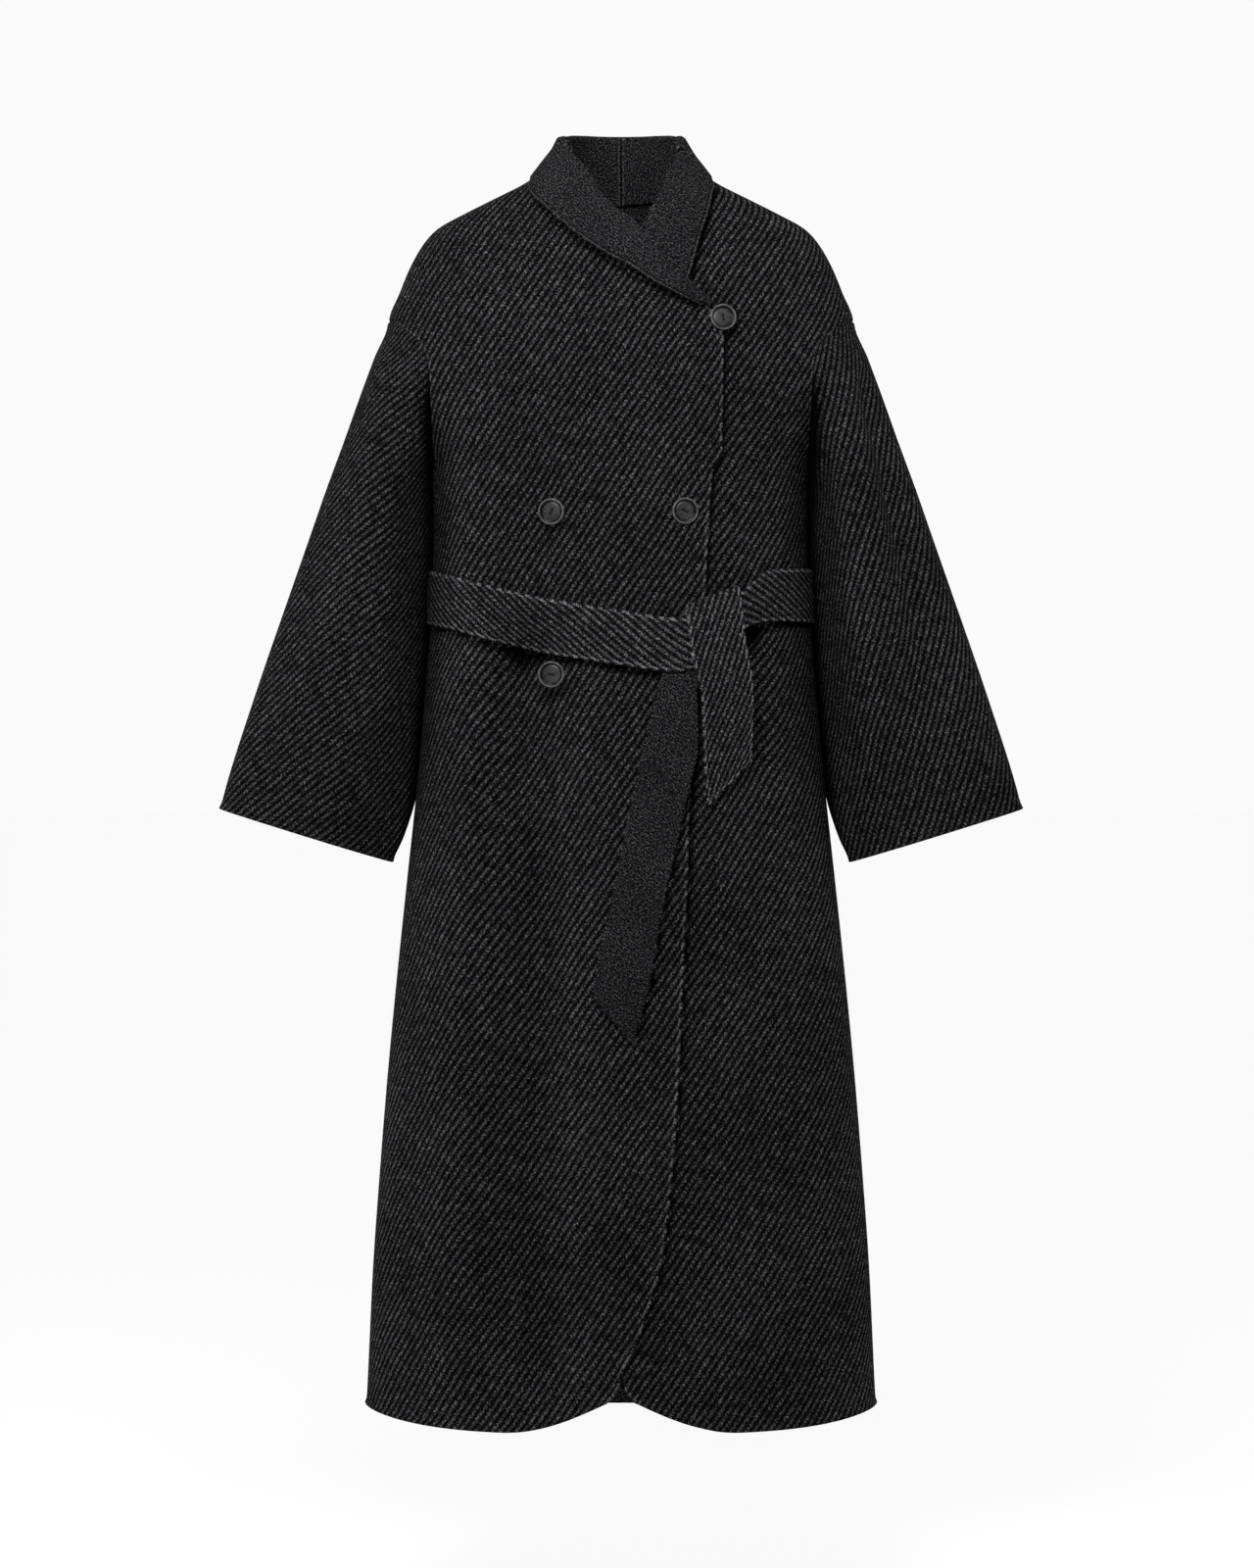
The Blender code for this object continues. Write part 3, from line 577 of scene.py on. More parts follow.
def along(table, column, at):
    """Smooth value of one column of a table, with no overshoot, at values of its first column."""
    keys = np.array([row[0] for row in table])
    values = np.array([row[column] for row in table])
    steps = np.diff(keys)
    rises = np.diff(values) / steps
    slopes = np.zeros(len(keys))
    slopes[0] = rises[0]
    slopes[-1] = rises[-1]
    products = rises[:-1] * rises[1:]
    same_way = products > 0
    sums = np.where(same_way, rises[:-1] + rises[1:], 1.0)
    slopes[1:-1] = np.where(same_way, 2 * products / sums, 0.0)
    i = np.clip(np.searchsorted(keys, at) - 1, 0, len(keys) - 2)
    u = np.clip((at - keys[i]) / steps[i], 0.0, 1.0)
    low = values[i] * (1 + 2 * u) * (1 - u) ** 2 + values[i + 1] * u * u * (3 - 2 * u)
    return low + steps[i] * (slopes[i] * u * (1 - u) ** 2 - slopes[i + 1] * u * u * (1 - u))


def soft_step(low, high, at):
    u = np.clip((at - low) / (high - low), 0.0, 1.0)
    return u * u * (3 - 2 * u)


def bell(away, half):
    """One at no distance, falling softly to nothing on both sides."""
    return np.exp(-((away / half) ** 2))


def unit(vectors):
    return vectors / np.linalg.norm(vectors, axis=-1, keepdims=True)


def depth(face, z):
    return along(BODY, BACK_DEPTH if face == "back" else FRONT_DEPTH, z)


def half_width(z):
    return along(BODY, HALF_WIDTH, z)


def turn_at(x, z):
    """Angle round the section at an x: 0 at the middle, a quarter turn at the side."""
    share = np.minimum(np.abs(x) / half_width(z), 1.0)
    return np.copysign(np.arcsin(share ** (ROUNDNESS / 2)), x)


def edge_turn(face, z):
    """Angle at which a panel ends: at the armhole, or half a seam gap from the side."""
    seam = np.arccos((SEAM_GAP / 2 / depth(face, z)) ** (ROUNDNESS / 2))
    armhole = turn_at(along(ARMHOLE, 1, z), z)
    return np.where((UNDERARM < z) & (z < SHOULDER_TIP), armhole, seam)


def body_point(face, turn, z):
    x = half_width(z) * np.copysign(np.abs(np.sin(turn)) ** (2 / ROUNDNESS), turn)
    y = depth(face, z) * np.abs(np.cos(turn)) ** (2 / ROUNDNESS)
    return np.stack((x, y if face == "back" else -y, z + 0 * x), axis=-1)


def body_normal(face, point):
    """Outward direction of the body's surface, from the slope of its section rule."""
    x, y, z = (point[..., i] for i in range(3))
    high = z + SLOPE_STEP
    low = z - SLOPE_STEP
    width = half_width(z)
    reach = depth(face, z)
    width_slope = (half_width(high) - half_width(low)) / (2 * SLOPE_STEP)
    reach_slope = (depth(face, high) - depth(face, low)) / (2 * SLOPE_STEP)
    across = np.abs(x) / width
    through = np.abs(y) / reach
    out = 1 if face == "back" else -1
    normal = np.stack((
        np.copysign(across ** (ROUNDNESS - 1) / width, x),
        out * through ** (ROUNDNESS - 1) / reach,
        -(across ** ROUNDNESS) * width_slope / width - through ** ROUNDNESS * reach_slope / reach,
    ), axis=-1)
    return unit(normal)


def on_body(face, x, z, lift):
    """Points of the body's surface at an x and a height, moved out."""
    point = body_point(face, turn_at(x, z), z)
    return point + np.expand_dims(lift, -1) * body_normal(face, point)


def round_body(angle, z, lift):
    """Points of the body's surface at an angle, from 0 behind to half a turn in front, moved out."""
    behind = body_point("back", np.minimum(angle, math.pi / 2), z)
    before = body_point("front", np.minimum(math.pi - angle, math.pi / 2), z)
    is_behind = np.expand_dims(angle < math.pi / 2, -1)
    point = np.where(is_behind, behind, before)
    normal = np.where(is_behind, body_normal("back", behind), body_normal("front", before))
    return point + np.expand_dims(lift, -1) * normal


def section(face, z, turn_from, turn_to, share):
    """Points at a share of the section between two angles, and the section's length up to each angle."""
    steps = np.linspace(0, 1, SECTION_SAMPLES)
    turns = turn_from[..., None] + (turn_to - turn_from)[..., None] * steps
    x = half_width(z)[..., None] * np.copysign(np.abs(np.sin(turns)) ** (2 / ROUNDNESS), turns)
    y = depth(face, z)[..., None] * np.abs(np.cos(turns)) ** (2 / ROUNDNESS)
    pieces = np.hypot(np.diff(x, axis=-1), np.diff(y, axis=-1))
    length = np.concatenate((np.zeros_like(x[..., :1]), np.cumsum(pieces, axis=-1)), axis=-1)
    wanted = share * length[..., -1]
    i = np.clip((length < wanted[..., None]).sum(axis=-1), 1, SECTION_SAMPLES - 1)[..., None]
    before = np.take_along_axis(length, i - 1, -1)[..., 0]
    after = np.take_along_axis(length, i, -1)[..., 0]
    part = np.clip((wanted - before) / np.maximum(after - before, LEAST_LENGTH), 0.0, 1.0)
    turn_low = np.take_along_axis(turns, i - 1, -1)[..., 0]
    turn_high = np.take_along_axis(turns, i, -1)[..., 0]
    return body_point(face, turn_low + (turn_high - turn_low) * part, z), length[..., -1]


def fold_height(face, x, z):
    total = np.zeros_like(x)
    for side, top_x, bottom_x, top, bottom, half, height, run in FOLDS:
        if side != face:
            continue
        middle = top_x + (bottom_x - top_x) * (top - z) / (top - bottom)
        ends = soft_step(top, top - run, z) * soft_step(bottom, bottom + run, z)
        total += height * ends * bell(x - middle, half)
    return total


def row_heights():
    skirt = np.linspace(HEM, UNDERARM, SKIRT_STEPS + 1)[:-1]
    middle = (SHOULDER_TIP + UNDERARM) / 2
    half = (SHOULDER_TIP - UNDERARM) / 2
    armhole = middle - half * np.cos(math.pi * np.arange(ARMHOLE_STEPS) / ARMHOLE_STEPS)
    shoulder = np.linspace(SHOULDER_TIP, NECK_TOP - SEAM_GAP, SHOULDER_STEPS + 1)
    return np.concatenate((skirt, armhole, shoulder))


def grid_normals(grid, ring=False):
    """Directions across a grid of points, from its neighbours."""
    if ring:
        padded = np.concatenate((grid[:, -1:], grid, grid[:, :1]), axis=1)
        across = np.gradient(padded, axis=1)[:, 1:-1]
    else:
        across = np.gradient(grid, axis=1)
    return unit(np.cross(across, np.gradient(grid, axis=0)))


def lengths(points, axis):
    """Distance along a grid from its first row or column to each point."""
    pieces = np.linalg.norm(np.diff(points, axis=axis), axis=-1)
    start = np.zeros_like(np.take(pieces, [0], axis=axis))
    return np.concatenate((start, np.cumsum(pieces, axis=axis)), axis=axis)


def border_loops(rows, columns, ring):
    """Loops of border points as indices, each with the next points inside them, in the faces' direction."""
    at = np.arange(rows * columns).reshape(rows, columns)
    if ring:
        return [(at[0], at[1]), (at[-1, ::-1], at[-2, ::-1])]
    border = np.concatenate((at[0], at[1:, -1], at[-1, -2::-1], at[-2:0:-1, 0]))
    inside = np.concatenate((at[1], at[1:, -2], at[-2, -2::-1], at[-2:0:-1, 1]))
    return [(border, inside)]


def grid_faces(columns, spans, rows):
    i, j = np.meshgrid(np.arange(rows - 1), np.arange(spans), indexing="ij")
    k = (j + 1) % columns
    low = i * columns
    high = low + columns
    faces = np.stack((low + j, low + k, high + k, high + j), axis=-1)
    return faces.reshape(-1, 4), i.ravel(), j.ravel()


def corner_values(values, i, j):
    """Values of a map at the four corners of each face of a grid."""
    return np.stack((values[i, j], values[i, j + 1], values[i + 1, j + 1], values[i + 1, j]), axis=1)


def placed(name, data):
    """A new object in the scene."""
    item = bpy.data.objects.new(name, data)
    bpy.context.scene.collection.objects.link(item)
    return item


def seat(piece, node):
    """Puts a piece in its node's place."""
    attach(piece, BODY_NAME)
    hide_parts(node)


def rim_ways(middle, out, loops):
    """Each border loop with its directions away from the sheet and the room that its round edge takes."""
    ways = []
    for border, inside in loops:
        course = np.roll(middle[border], -1, axis=0) - np.roll(middle[border], 1, axis=0)
        aside = unit(np.cross(course, out[border]))
        step = middle[border] - middle[inside]
        aside *= np.sign((aside * step).sum())
        room = np.minimum(WALL / 2, RIM_ROOM * np.linalg.norm(step, axis=1))
        ways.append((border, aside, room))
    return ways


def rim_values(values, border, columns, ring):
    """Values of a map at the corners of a rim's faces, which are those of the border beside them."""
    here = values[:, :columns].reshape(-1, 2)[border]
    after = np.roll(here, -1, axis=0)
    if ring and border[0] == 0:
        after[-1] = values[0, columns]
    elif ring:
        here[-1] = values[-1, columns]
    return np.stack((after, here, here, after), axis=1)


def faces_inwards(points, faces, out):
    """Whether the faces of a grid look against its outward directions."""
    a, b, c = (points[faces[:, corner]] for corner in (0, 1, 3))
    return (np.cross(b - a, c - a) * out[faces[:, 0]]).sum() < 0


def cloth_mesh(name, points, faces, corners, slots, finishes):
    """A mesh with its two maps and its materials."""
    mesh = bpy.data.meshes.new(name)
    mesh.from_pydata(points.tolist(), [], faces.tolist())
    for label, values in zip(("Cloth", "Edge"), corners):
        layer = mesh.uv_layers.new(name=label)
        layer.uv.foreach_set("vector", values.astype(np.float32).ravel())
    for finish in finishes:
        mesh.materials.append(finish)
    mesh.polygons.foreach_set("material_index", slots.astype(np.int32))
    mesh.shade_smooth()
    return mesh


def shell(name, outer, normals, maps, finishes, ring=False):
    """A sheet of cloth with round edges, from a grid of points on its outer face.

    maps holds the cloth map and the edge map, and finishes the materials of the outer and the inner face.
    """
    rows, columns = outer.shape[:2]
    count = rows * columns
    radius = WALL / 2
    middle = (outer - normals * radius).reshape(-1, 3)
    out = normals.reshape(-1, 3)
    loops = rim_ways(middle, out, border_loops(rows, columns, ring))
    for border, aside, room in loops:
        middle[border] -= aside * room[:, None]
    points = [middle + out * radius, middle - out * radius]
    grid, i, j = grid_faces(columns, columns if ring else columns - 1, rows)
    faces = [grid, grid[:, ::-1] + count]
    corners = [[corner_values(values, i, j), corner_values(values, i, j)[:, ::-1]] for values in maps]
    slots = [np.zeros(len(grid), int), np.ones(len(grid), int)]
    start = 2 * count
    for border, aside, _ in loops:
        size = len(border)
        chain = [border]
        for k in range(1, RIM_STEPS + 1):
            turn = math.pi / 2 - math.pi * k / (RIM_STEPS + 1)
            points.append(middle[border] + radius * (math.cos(turn) * aside + math.sin(turn) * out[border]))
            chain.append(start + np.arange(size))
            start += size
        chain.append(border + count)
        for one, other in zip(chain[:-1], chain[1:]):
            faces.append(np.stack((np.roll(one, -1), one, other, np.roll(other, -1)), axis=1))
            slots.append(np.zeros(size, int))
        for values, kept in zip(maps, corners):
            kept += [rim_values(values, border, columns, ring)] * (RIM_STEPS + 1)
    points, faces, slots = (np.concatenate(parts) for parts in (points, faces, slots))
    corners = [np.concatenate(kept) for kept in corners]
    if faces_inwards(points, grid, out):
        faces = faces[:, ::-1]
        corners = [values[:, ::-1] for values in corners]
    return placed(name, cloth_mesh(name, points, faces, corners, slots, finishes))


def declare(piece, node, outer, ring=False):
    """Puts a cloth piece in its node's place. The area of its grid is worked out, but nothing uses it."""
    loop = np.concatenate((outer, outer[:, :1]), axis=1) if ring else outer
    a, b, c, d = loop[:-1, :-1], loop[:-1, 1:], loop[1:, 1:], loop[1:, :-1]
    area = (np.linalg.norm(np.cross(c - a, d - b), axis=-1) / 2).sum()
    seat(piece, node)


def cloth_piece(name, outer, normals, maps, finishes, held, rests_on, ring=False):
    """One sheet of cloth, with the side that it shows, in the place of its solid."""
    piece = shell(name + "_cloth", outer, normals, maps, finishes, ring)
    slot = "wool_reverse" if finishes[0] == wool_reverse() else "wool_face"
    declare(piece, name, outer, ring)


def edge_map(shape, from_edge=FAR, from_seam=FAR):
    """Map of the distances from a finished edge, and from a seam or from what lies over the cloth."""
    return np.stack((np.broadcast_to(from_edge, shape), np.broadcast_to(from_seam, shape)), axis=-1)


def tuck(x, z):
    """Distance by which the lower front lies inside the body's surface."""
    limit = np.maximum(along(FRONT_EDGES, UPPER, z), TUCK_LEAST_REACH) + TUCK_MARGIN
    return along(TUCK, 1, z) * (1 - soft_step(limit, limit + TUCK_FADE, x))


def covered(x, z, layer):
    """Distance of a place on a front from the nearest edge that lies over it, above or on its right, for
    painted shade.
    """
    away = np.full_like(x, FAR)
    belt_edge = [(row[0], row[1] - row[3] / 2) for row in BELT_FRONT]
    wing_edge = [(-row[2], row[3]) for row in UPPER_WING]
    hollow = sum(bell(x - middle, half) for middle, half in BELT_HOLLOWS)
    for edge, share in ((belt_edge, 1 - BELT_HOLLOW * hollow), (wing_edge, 1.0)):
        places, heights = zip(*edge)
        drop = (np.interp(x, places, heights) - z) * share
        under = (drop > 0) & (places[0] < x) & (x < places[-1])
        away = np.where(under, np.minimum(away, drop), away)
    beside = [[row[2:4] for row in reversed(table)] for table in (KNOT_TAIL[COVER_ROW:], LONG_TAIL)]
    if layer == LOWER:
        beside.append([(row[UPPER], row[0]) for row in FRONT_EDGES])
        beside.append([row[2:4] for row in reversed(LOWER_WING)])
    for edge in beside:
        places, heights = zip(*edge)
        past = x - np.interp(z, heights, places)
        level = (past > 0) & (heights[0] < z) & (z < heights[-1])
        away = np.where(level, np.minimum(away, past), away)
    return away


def warp_height(z):
    """Cloth map's height: more cloth than height where the shoulders slope away."""
    return z + SHOULDER_STRETCH * np.maximum(0.0, z - STRETCH_FROM) ** 2


def hem_shape(x, height):
    """How far the cloth near the hem is moved up or down."""
    fade = np.maximum(0.0, 1 - (height - HEM) / HEM_REACH) ** 2
    return fade * (HEM_RISE * (np.abs(x) / half_width(height)) ** HEM_RISE_POWER - HEM_DIP)


def front_surface(side, layer, share, height):
    """Outer points of a front, outward directions and maps, at shares of the way to the side."""
    none = np.zeros_like(height)
    _, whole = section("front", height, none, edge_turn("front", height), none)
    fade = np.maximum(0.0, 1 - (height - HEM) / CORNER_HEIGHT) ** 2
    z = height + CORNER_RISE * fade * np.maximum(0.0, 1 - share * whole / CORNER_REACH) ** CORNER_POWER
    end = edge_turn("front", z)
    start = turn_at(-along(FRONT_EDGES, layer, z), z)
    point, length = section("front", z, start, end, share)
    z = z + hem_shape(point[..., 0], height)
    point[..., 2] = z
    _, whole = section("front", z, none, end, none)
    cloth = np.stack((side * (whole - (1 - share) * length), warp_height(z)), axis=-1)
    point[..., 0] *= side
    point[..., 1] += SEAM_LAP * bell((1 - share) * length, EDGE_REACH)
    normal = body_normal("front", point)
    from_edge = np.minimum(share * length, height - HEM)
    lift = fold_height("front", point[..., 0], z) + EDGE_SWELL * bell(from_edge, EDGE_REACH)
    if layer == LOWER:
        lift = lift - tuck(point[..., 0], z)
    at_armhole = (UNDERARM < z) & (z < SHOULDER_TIP)
    from_seam = np.where(at_armhole, (1 - share) * length, FAR)
    edges = edge_map(share.shape, np.minimum(share * length, from_seam), covered(point[..., 0], z, layer))
    return point + lift[..., None] * normal, normal, (cloth, edges)


def back_surface(share, height):
    """Outer points of the back, outward directions and maps, at shares of the way across."""
    dip = BACK_NECK_DIP * soft_step(BACK_NECK_DIP_FROM, NECK_TOP, height)
    z = height - dip * (1 - (2 * share - 1) ** 2)
    end = edge_turn("back", z)
    point, length = section("back", z, -end, end, share)
    z = z + hem_shape(point[..., 0], height)
    point[..., 2] = z
    point[..., 1] -= SEAM_LAP * bell(np.minimum(share, 1 - share) * length, EDGE_REACH)
    normal = body_normal("back", point)
    cloth = np.stack(((0.5 - share) * length, warp_height(z)), axis=-1)
    lift = fold_height("back", point[..., 0], z) + EDGE_SWELL * bell(height - HEM, EDGE_REACH)
    return point + lift[..., None] * normal, normal, (cloth, edge_map(share.shape))


def panel_grid(steps):
    return np.meshgrid(np.linspace(0, 1, steps + 1), row_heights())


def front(side, layer):
    surface = front_surface(side, layer, *panel_grid(FRONT_STEPS))
    cloth_piece(FRONT_NAMES[side], *surface, (wool_face(), wool_reverse()), "hung", ["back"])


def back():
    surface = back_surface(*panel_grid(BACK_STEPS))
    cloth_piece("back", *surface, (wool_face(), wool_reverse()), "hung", ["collar_right", "collar_left"])


def sleeve_ring(at, turn):
    """Points of a sleeve on the +X side at places along it, in its own flat rings."""
    outer_x, outer_z, inner_x, inner_z, half, middle_y = (along(SLEEVE, i, at) for i in range(1, 7))
    c, s = np.cos(turn), np.sin(turn)
    across = np.copysign(np.abs(c) ** (2 / SLEEVE_ROUNDNESS), c)
    through = np.copysign(np.abs(s) ** (2 / SLEEVE_ROUNDNESS), s)
    x = (outer_x + inner_x) / 2 + across * (outer_x - inner_x) / 2
    z = (outer_z + inner_z) / 2 + across * (outer_z - inner_z) / 2
    inner = soft_step(SLEEVE_INNER_FROM, 1.0, (1 - across) / 2)
    x = x - inner * along(SLEEVE_INNER, 1, at)
    y = middle_y - half * through + inner * along(SLEEVE_INNER, 2, at)
    return np.stack((x, y, z), axis=-1)


def armhole_ring(turn):
    """The armhole seam, on the body's surface."""
    middle = (SHOULDER_TIP + UNDERARM) / 2
    z = middle + np.cos(turn) * (SHOULDER_TIP - UNDERARM) / 2
    x = along(ARMHOLE, 1, z)
    in_front = np.expand_dims(np.sin(turn) > 0, -1)
    sunk = np.full_like(z, -ARMHOLE_SINK)
    seam = np.where(in_front, on_body("front", x, z, sunk), on_body("back", x, z, sunk))
    return seam + np.array((-ARMHOLE_TUCK, 0.0, ARMHOLE_TUCK / 2))


def sleeve_fold_height(sleeve_side, at, around):
    total = np.zeros_like(at)
    for side, start, end, first, last, half, height in SLEEVE_FOLDS:
        if side not in (sleeve_side, BOTH):
            continue
        place = first + (last - first) * np.clip((at - start) / (end - start), 0.0, 1.0)
        away = (around - place + 0.5) % 1 - 0.5
        run = min(SLEEVE_FOLD_RUN, (end - start) / 2)
        ends = soft_step(start, start + run, at) * soft_step(end, end - run, at)
        total += height * ends * bell(away, half)
    return total


def sleeve_map(grid, places, round_it, side):
    """Cloth map of a sleeve, round it from the middle of its front and along its course.

    Near the armhole its girth behind follows the rows below, so that the weave isn't drawn out there.
    """
    down = unit(np.array(SLEEVE_AXIS))
    sideways = np.array((-down[2], 0.0, down[0]))
    flat = np.stack((grid @ sideways, grid[..., 1], np.zeros(grid.shape[:2])), axis=-1)
    weft = lengths(flat, 1)
    in_front = round_it > 0
    behind = round_it < 0
    reach = np.empty(len(places))
    for i, across in enumerate(flat[..., 0]):
        weft[i] -= np.interp(SLEEVE_MIDDLE, across[in_front][::-1], weft[i][in_front][::-1])
        reach[i] = -np.interp(SLEEVE_MIDDLE, across[behind], weft[i][behind])
    trend = np.polyfit(places[SLEEVE_TREND], reach[SLEEVE_TREND], 1)
    wanted = np.where(places < places[SLEEVE_TREND][0], np.polyval(trend, places), reach)[:, None]
    reach = reach[:, None]
    front_part = np.where(weft < 0, weft * wanted / reach, weft)
    weft = np.where(weft < -reach, weft + reach - wanted, front_part)
    return np.stack((-side * weft, -(grid @ down)), axis=-1)


def beside_body(grid):
    """Distance of a sleeve's places from the body's outline, as the painted shade beside it is read."""
    z = grid[..., 2]
    body_edge = np.where(z > UNDERARM, along(ARMHOLE, 1, z), half_width(z))
    beside = np.minimum(lengths(grid, 0), grid[..., 0] - body_edge)
    beside = beside + SLEEVE_COVER_FADE * np.maximum(0.0, z - SLEEVE_COVER_TOP)
    return SLEEVE_COVER * np.maximum(beside, 0.0)


def sleeve(name, side):
    """One sleeve, a tube from the armhole to the cuff, with its seam on the inner side."""
    round_it = -math.pi + 2 * math.pi * np.arange(SLEEVE_ROUND + 1) / SLEEVE_ROUND
    places = np.linspace(0, 1, SLEEVE_STEPS + 1)
    turn, at = np.meshgrid(round_it, places)
    grid = sleeve_ring(np.maximum(at, SLEEVE_HEAD), turn)
    seam = armhole_ring(turn)
    grid = seam + (grid - seam) * np.minimum(at / SLEEVE_HEAD, 1.0)[..., None]
    normals = grid_normals(grid[:, :-1], ring=True)
    normals = np.concatenate((normals, normals[:, :1]), axis=1)
    lift = sleeve_fold_height(side, at, (turn / (2 * math.pi)) % 1)
    lift += EDGE_SWELL * bell(lengths(grid[::-1], 0)[::-1], EDGE_REACH)
    lift += ARMHOLE_SWELL * bell(lengths(grid, 0) - ARMHOLE_SWELL_AT, EDGE_REACH)
    grid = grid + lift[..., None] * normals
    maps = (sleeve_map(grid, places, round_it, side), edge_map(at.shape, FAR, beside_body(grid)))
    mirror = np.array((side, 1, 1))
    outer = grid[:, :-1] * mirror
    finishes = (wool_face(), wool_reverse())
    rests_on = [FRONT_NAMES[side], "back"]
    cloth_piece(name, outer, normals[:, :-1] * mirror, maps, finishes, "hung", rests_on, ring=True)


def collar_path(roll, edge, seam, fullness):
    """Middle lines of collar sections, from the neck seam over the roll to the outer edge."""
    up = unit(roll - (edge + seam) / 2)
    out = edge - seam
    out = unit(out - up * (out * up).sum(axis=-1, keepdims=True))
    centre = roll - ROLL_RADIUS * up
    inside = centre - ROLL_RADIUS * out
    outside = centre + ROLL_RADIUS * out
    path = [seam + (inside - seam) * share for share in np.linspace(0, 1, STAND_POINTS, endpoint=False)]
    for turn in np.linspace(math.pi, 0, ROLL_POINTS):
        path.append(centre + ROLL_RADIUS * (math.cos(turn) * out + math.sin(turn) * up))
    for share in np.linspace(0, 1, FALL_POINTS + 1)[1:]:
        swell = FALL_SWELL * math.sin(math.pi * share) * fullness[:, None]
        path.append(outside + (edge - outside) * share + swell * out)
    return np.stack(path, axis=1)


def angle_at(face, x, z):
    """Angle round the body, from 0 behind to half a turn in front."""
    turn = float(turn_at(x, z))
    return turn if face == "back" else math.pi - turn


def collar_stations(wing, layer):
    """Angle, height and lift of the roll, outer edge and neck seam, by share of the collar's length."""
    stations = []
    for roll_x, roll_z, edge_x, edge_z, seam_x, seam_z in NECK_SECTIONS:
        roll = (angle_at("back", roll_x, roll_z), roll_z, NECK_ROLL_LIFT)
        edge = (angle_at("back", edge_x, edge_z), edge_z, EDGE_LIFT)
        stations.append((*roll, *edge, angle_at("back", seam_x, seam_z), seam_z, SEAM_LIFT))
    for roll_x, roll_z, edge_x, edge_z, seam_z, edge_lift in wing:
        roll = (angle_at("front", roll_x, roll_z), roll_z, WING_ROLL_LIFT)
        edge = (angle_at("front", edge_x, edge_z), edge_z, edge_lift)
        seam_x = -float(along(FRONT_EDGES, layer, seam_z))
        stations.append((*roll, *edge, angle_at("front", seam_x, seam_z), seam_z, SEAM_LIFT))
    places = np.array(stations)
    edges = round_body(places[:, 3], places[:, 4], places[:, 5])
    length = lengths(edges, 0)
    return [(at, *row) for at, row in zip(length / length[-1], stations)]


def collar(name, side, wing, layer):
    """One half of the shawl collar, from the seam at centre back to the end of its wing."""
    table = collar_stations(wing, layer)
    at = np.linspace(0, 1, COLLAR_STEPS + 1)
    columns = [along(table, i, at) for i in range(1, 10)]
    points = []
    for angle, z, lift in (columns[0:3], columns[3:6], columns[6:9]):
        point = round_body(angle, z, lift)
        if layer == LOWER:
            sunk = np.where(angle > math.pi / 2, tuck(point[:, 0], z), 0.0)
            point = round_body(angle, z, lift - sunk)
        points.append(point)
    roll, edge, seam = points
    from_side = columns[0] - SIDE_SINK_ANGLE
    roll[:, 0] -= SIDE_SINK * bell(from_side, SIDE_SINK_REACH)
    seam = seam + unit(roll - seam) * COLLAR_SEAM_GAP
    fullness = 1 - SIDE_FLATNESS * bell(from_side, 2 * SIDE_SINK_REACH)
    grid = collar_path(roll, edge, seam, fullness)
    grid[0, :, 0] = -SEAM_OVERLAP
    normals = -grid_normals(grid)
    normals[0, :, 0] = 0.0
    normals = unit(normals)
    from_edge = lengths(grid[:, ::-1], 1)[:, ::-1]
    middle = grid[:, -FALL_POINTS // 2]
    course = unit(np.gradient(middle, axis=0))
    from_back = lengths(middle, 0)[:, None] + ((grid - middle[:, None]) * course[:, None]).sum(axis=-1)
    ways = (from_back, from_edge) if layer == UPPER else (from_edge, from_back)
    maps = (np.stack(ways, axis=-1), edge_map(from_edge.shape, from_edge, lengths(grid, 0)))
    mirror = np.array((side, 1, 1))
    outer = (grid + normals * WALL / 2) * mirror
    finishes = (wool_reverse(), wool_face())
    cloth_piece(name, outer, normals * mirror, maps, finishes, "folded", ["back", FRONT_NAMES[side]])


def belt_strip(name, shares, surface, table, course, carrier):
    """One stretch of the belt, on the points of the panel that carries it."""
    share, across = np.meshgrid(shares, np.linspace(0, 1, BELT_ACROSS_STEPS + 1), indexing="ij")
    level = np.full_like(share, BELT_BACK_HEIGHT)
    x = surface(share, level)[0][..., 0]
    middle, clear, width = (along(table, i, x) for i in range(1, 4))
    if carrier == FRONT_NAMES[LEFT]:
        clear = clear + tuck(x, level)
    point, normals, _ = surface(share, middle + (across - 0.5) * width)
    crown = BELT_CROWN * (1 - (2 * across - 1) ** 2)
    outer = point + (clear + WALL + crown)[..., None] * normals
    height = lengths(outer, 1)
    cloth = np.stack((-height, course * lengths(outer, 0)), axis=-1)
    edges = edge_map(share.shape, np.minimum(height, height[:, -1:] - height))
    cloth_piece(name, outer, normals, (cloth, edges), (lit_belt_face(), wool_reverse()), "laid", [carrier])


def belt():
    """The belt's stretches: from the right side to the knot, from there to the left side, and behind."""
    right_surface = partial(front_surface, RIGHT, UPPER)
    left_surface = partial(front_surface, LEFT, LOWER)
    shares = np.linspace(0, 1, BELT_FRONT_STEPS + 1)
    places = left_surface(shares, np.full_like(shares, BELT_BACK_HEIGHT))[0][:, 0]
    past_knot = np.linspace(np.interp(KNOT_LEFT_END, places, shares), 1, BELT_SIDE_STEPS + 1)
    behind = np.linspace(0, 1, BELT_BACK_STEPS + 1)
    belt_strip("belt_right", shares, right_surface, BELT_FRONT, -1, FRONT_NAMES[RIGHT])
    belt_strip("belt_left", past_knot, left_surface, BELT_FRONT, 1, FRONT_NAMES[LEFT])
    belt_strip("belt_back", behind, back_surface, BELT_BACK, -1, "back")


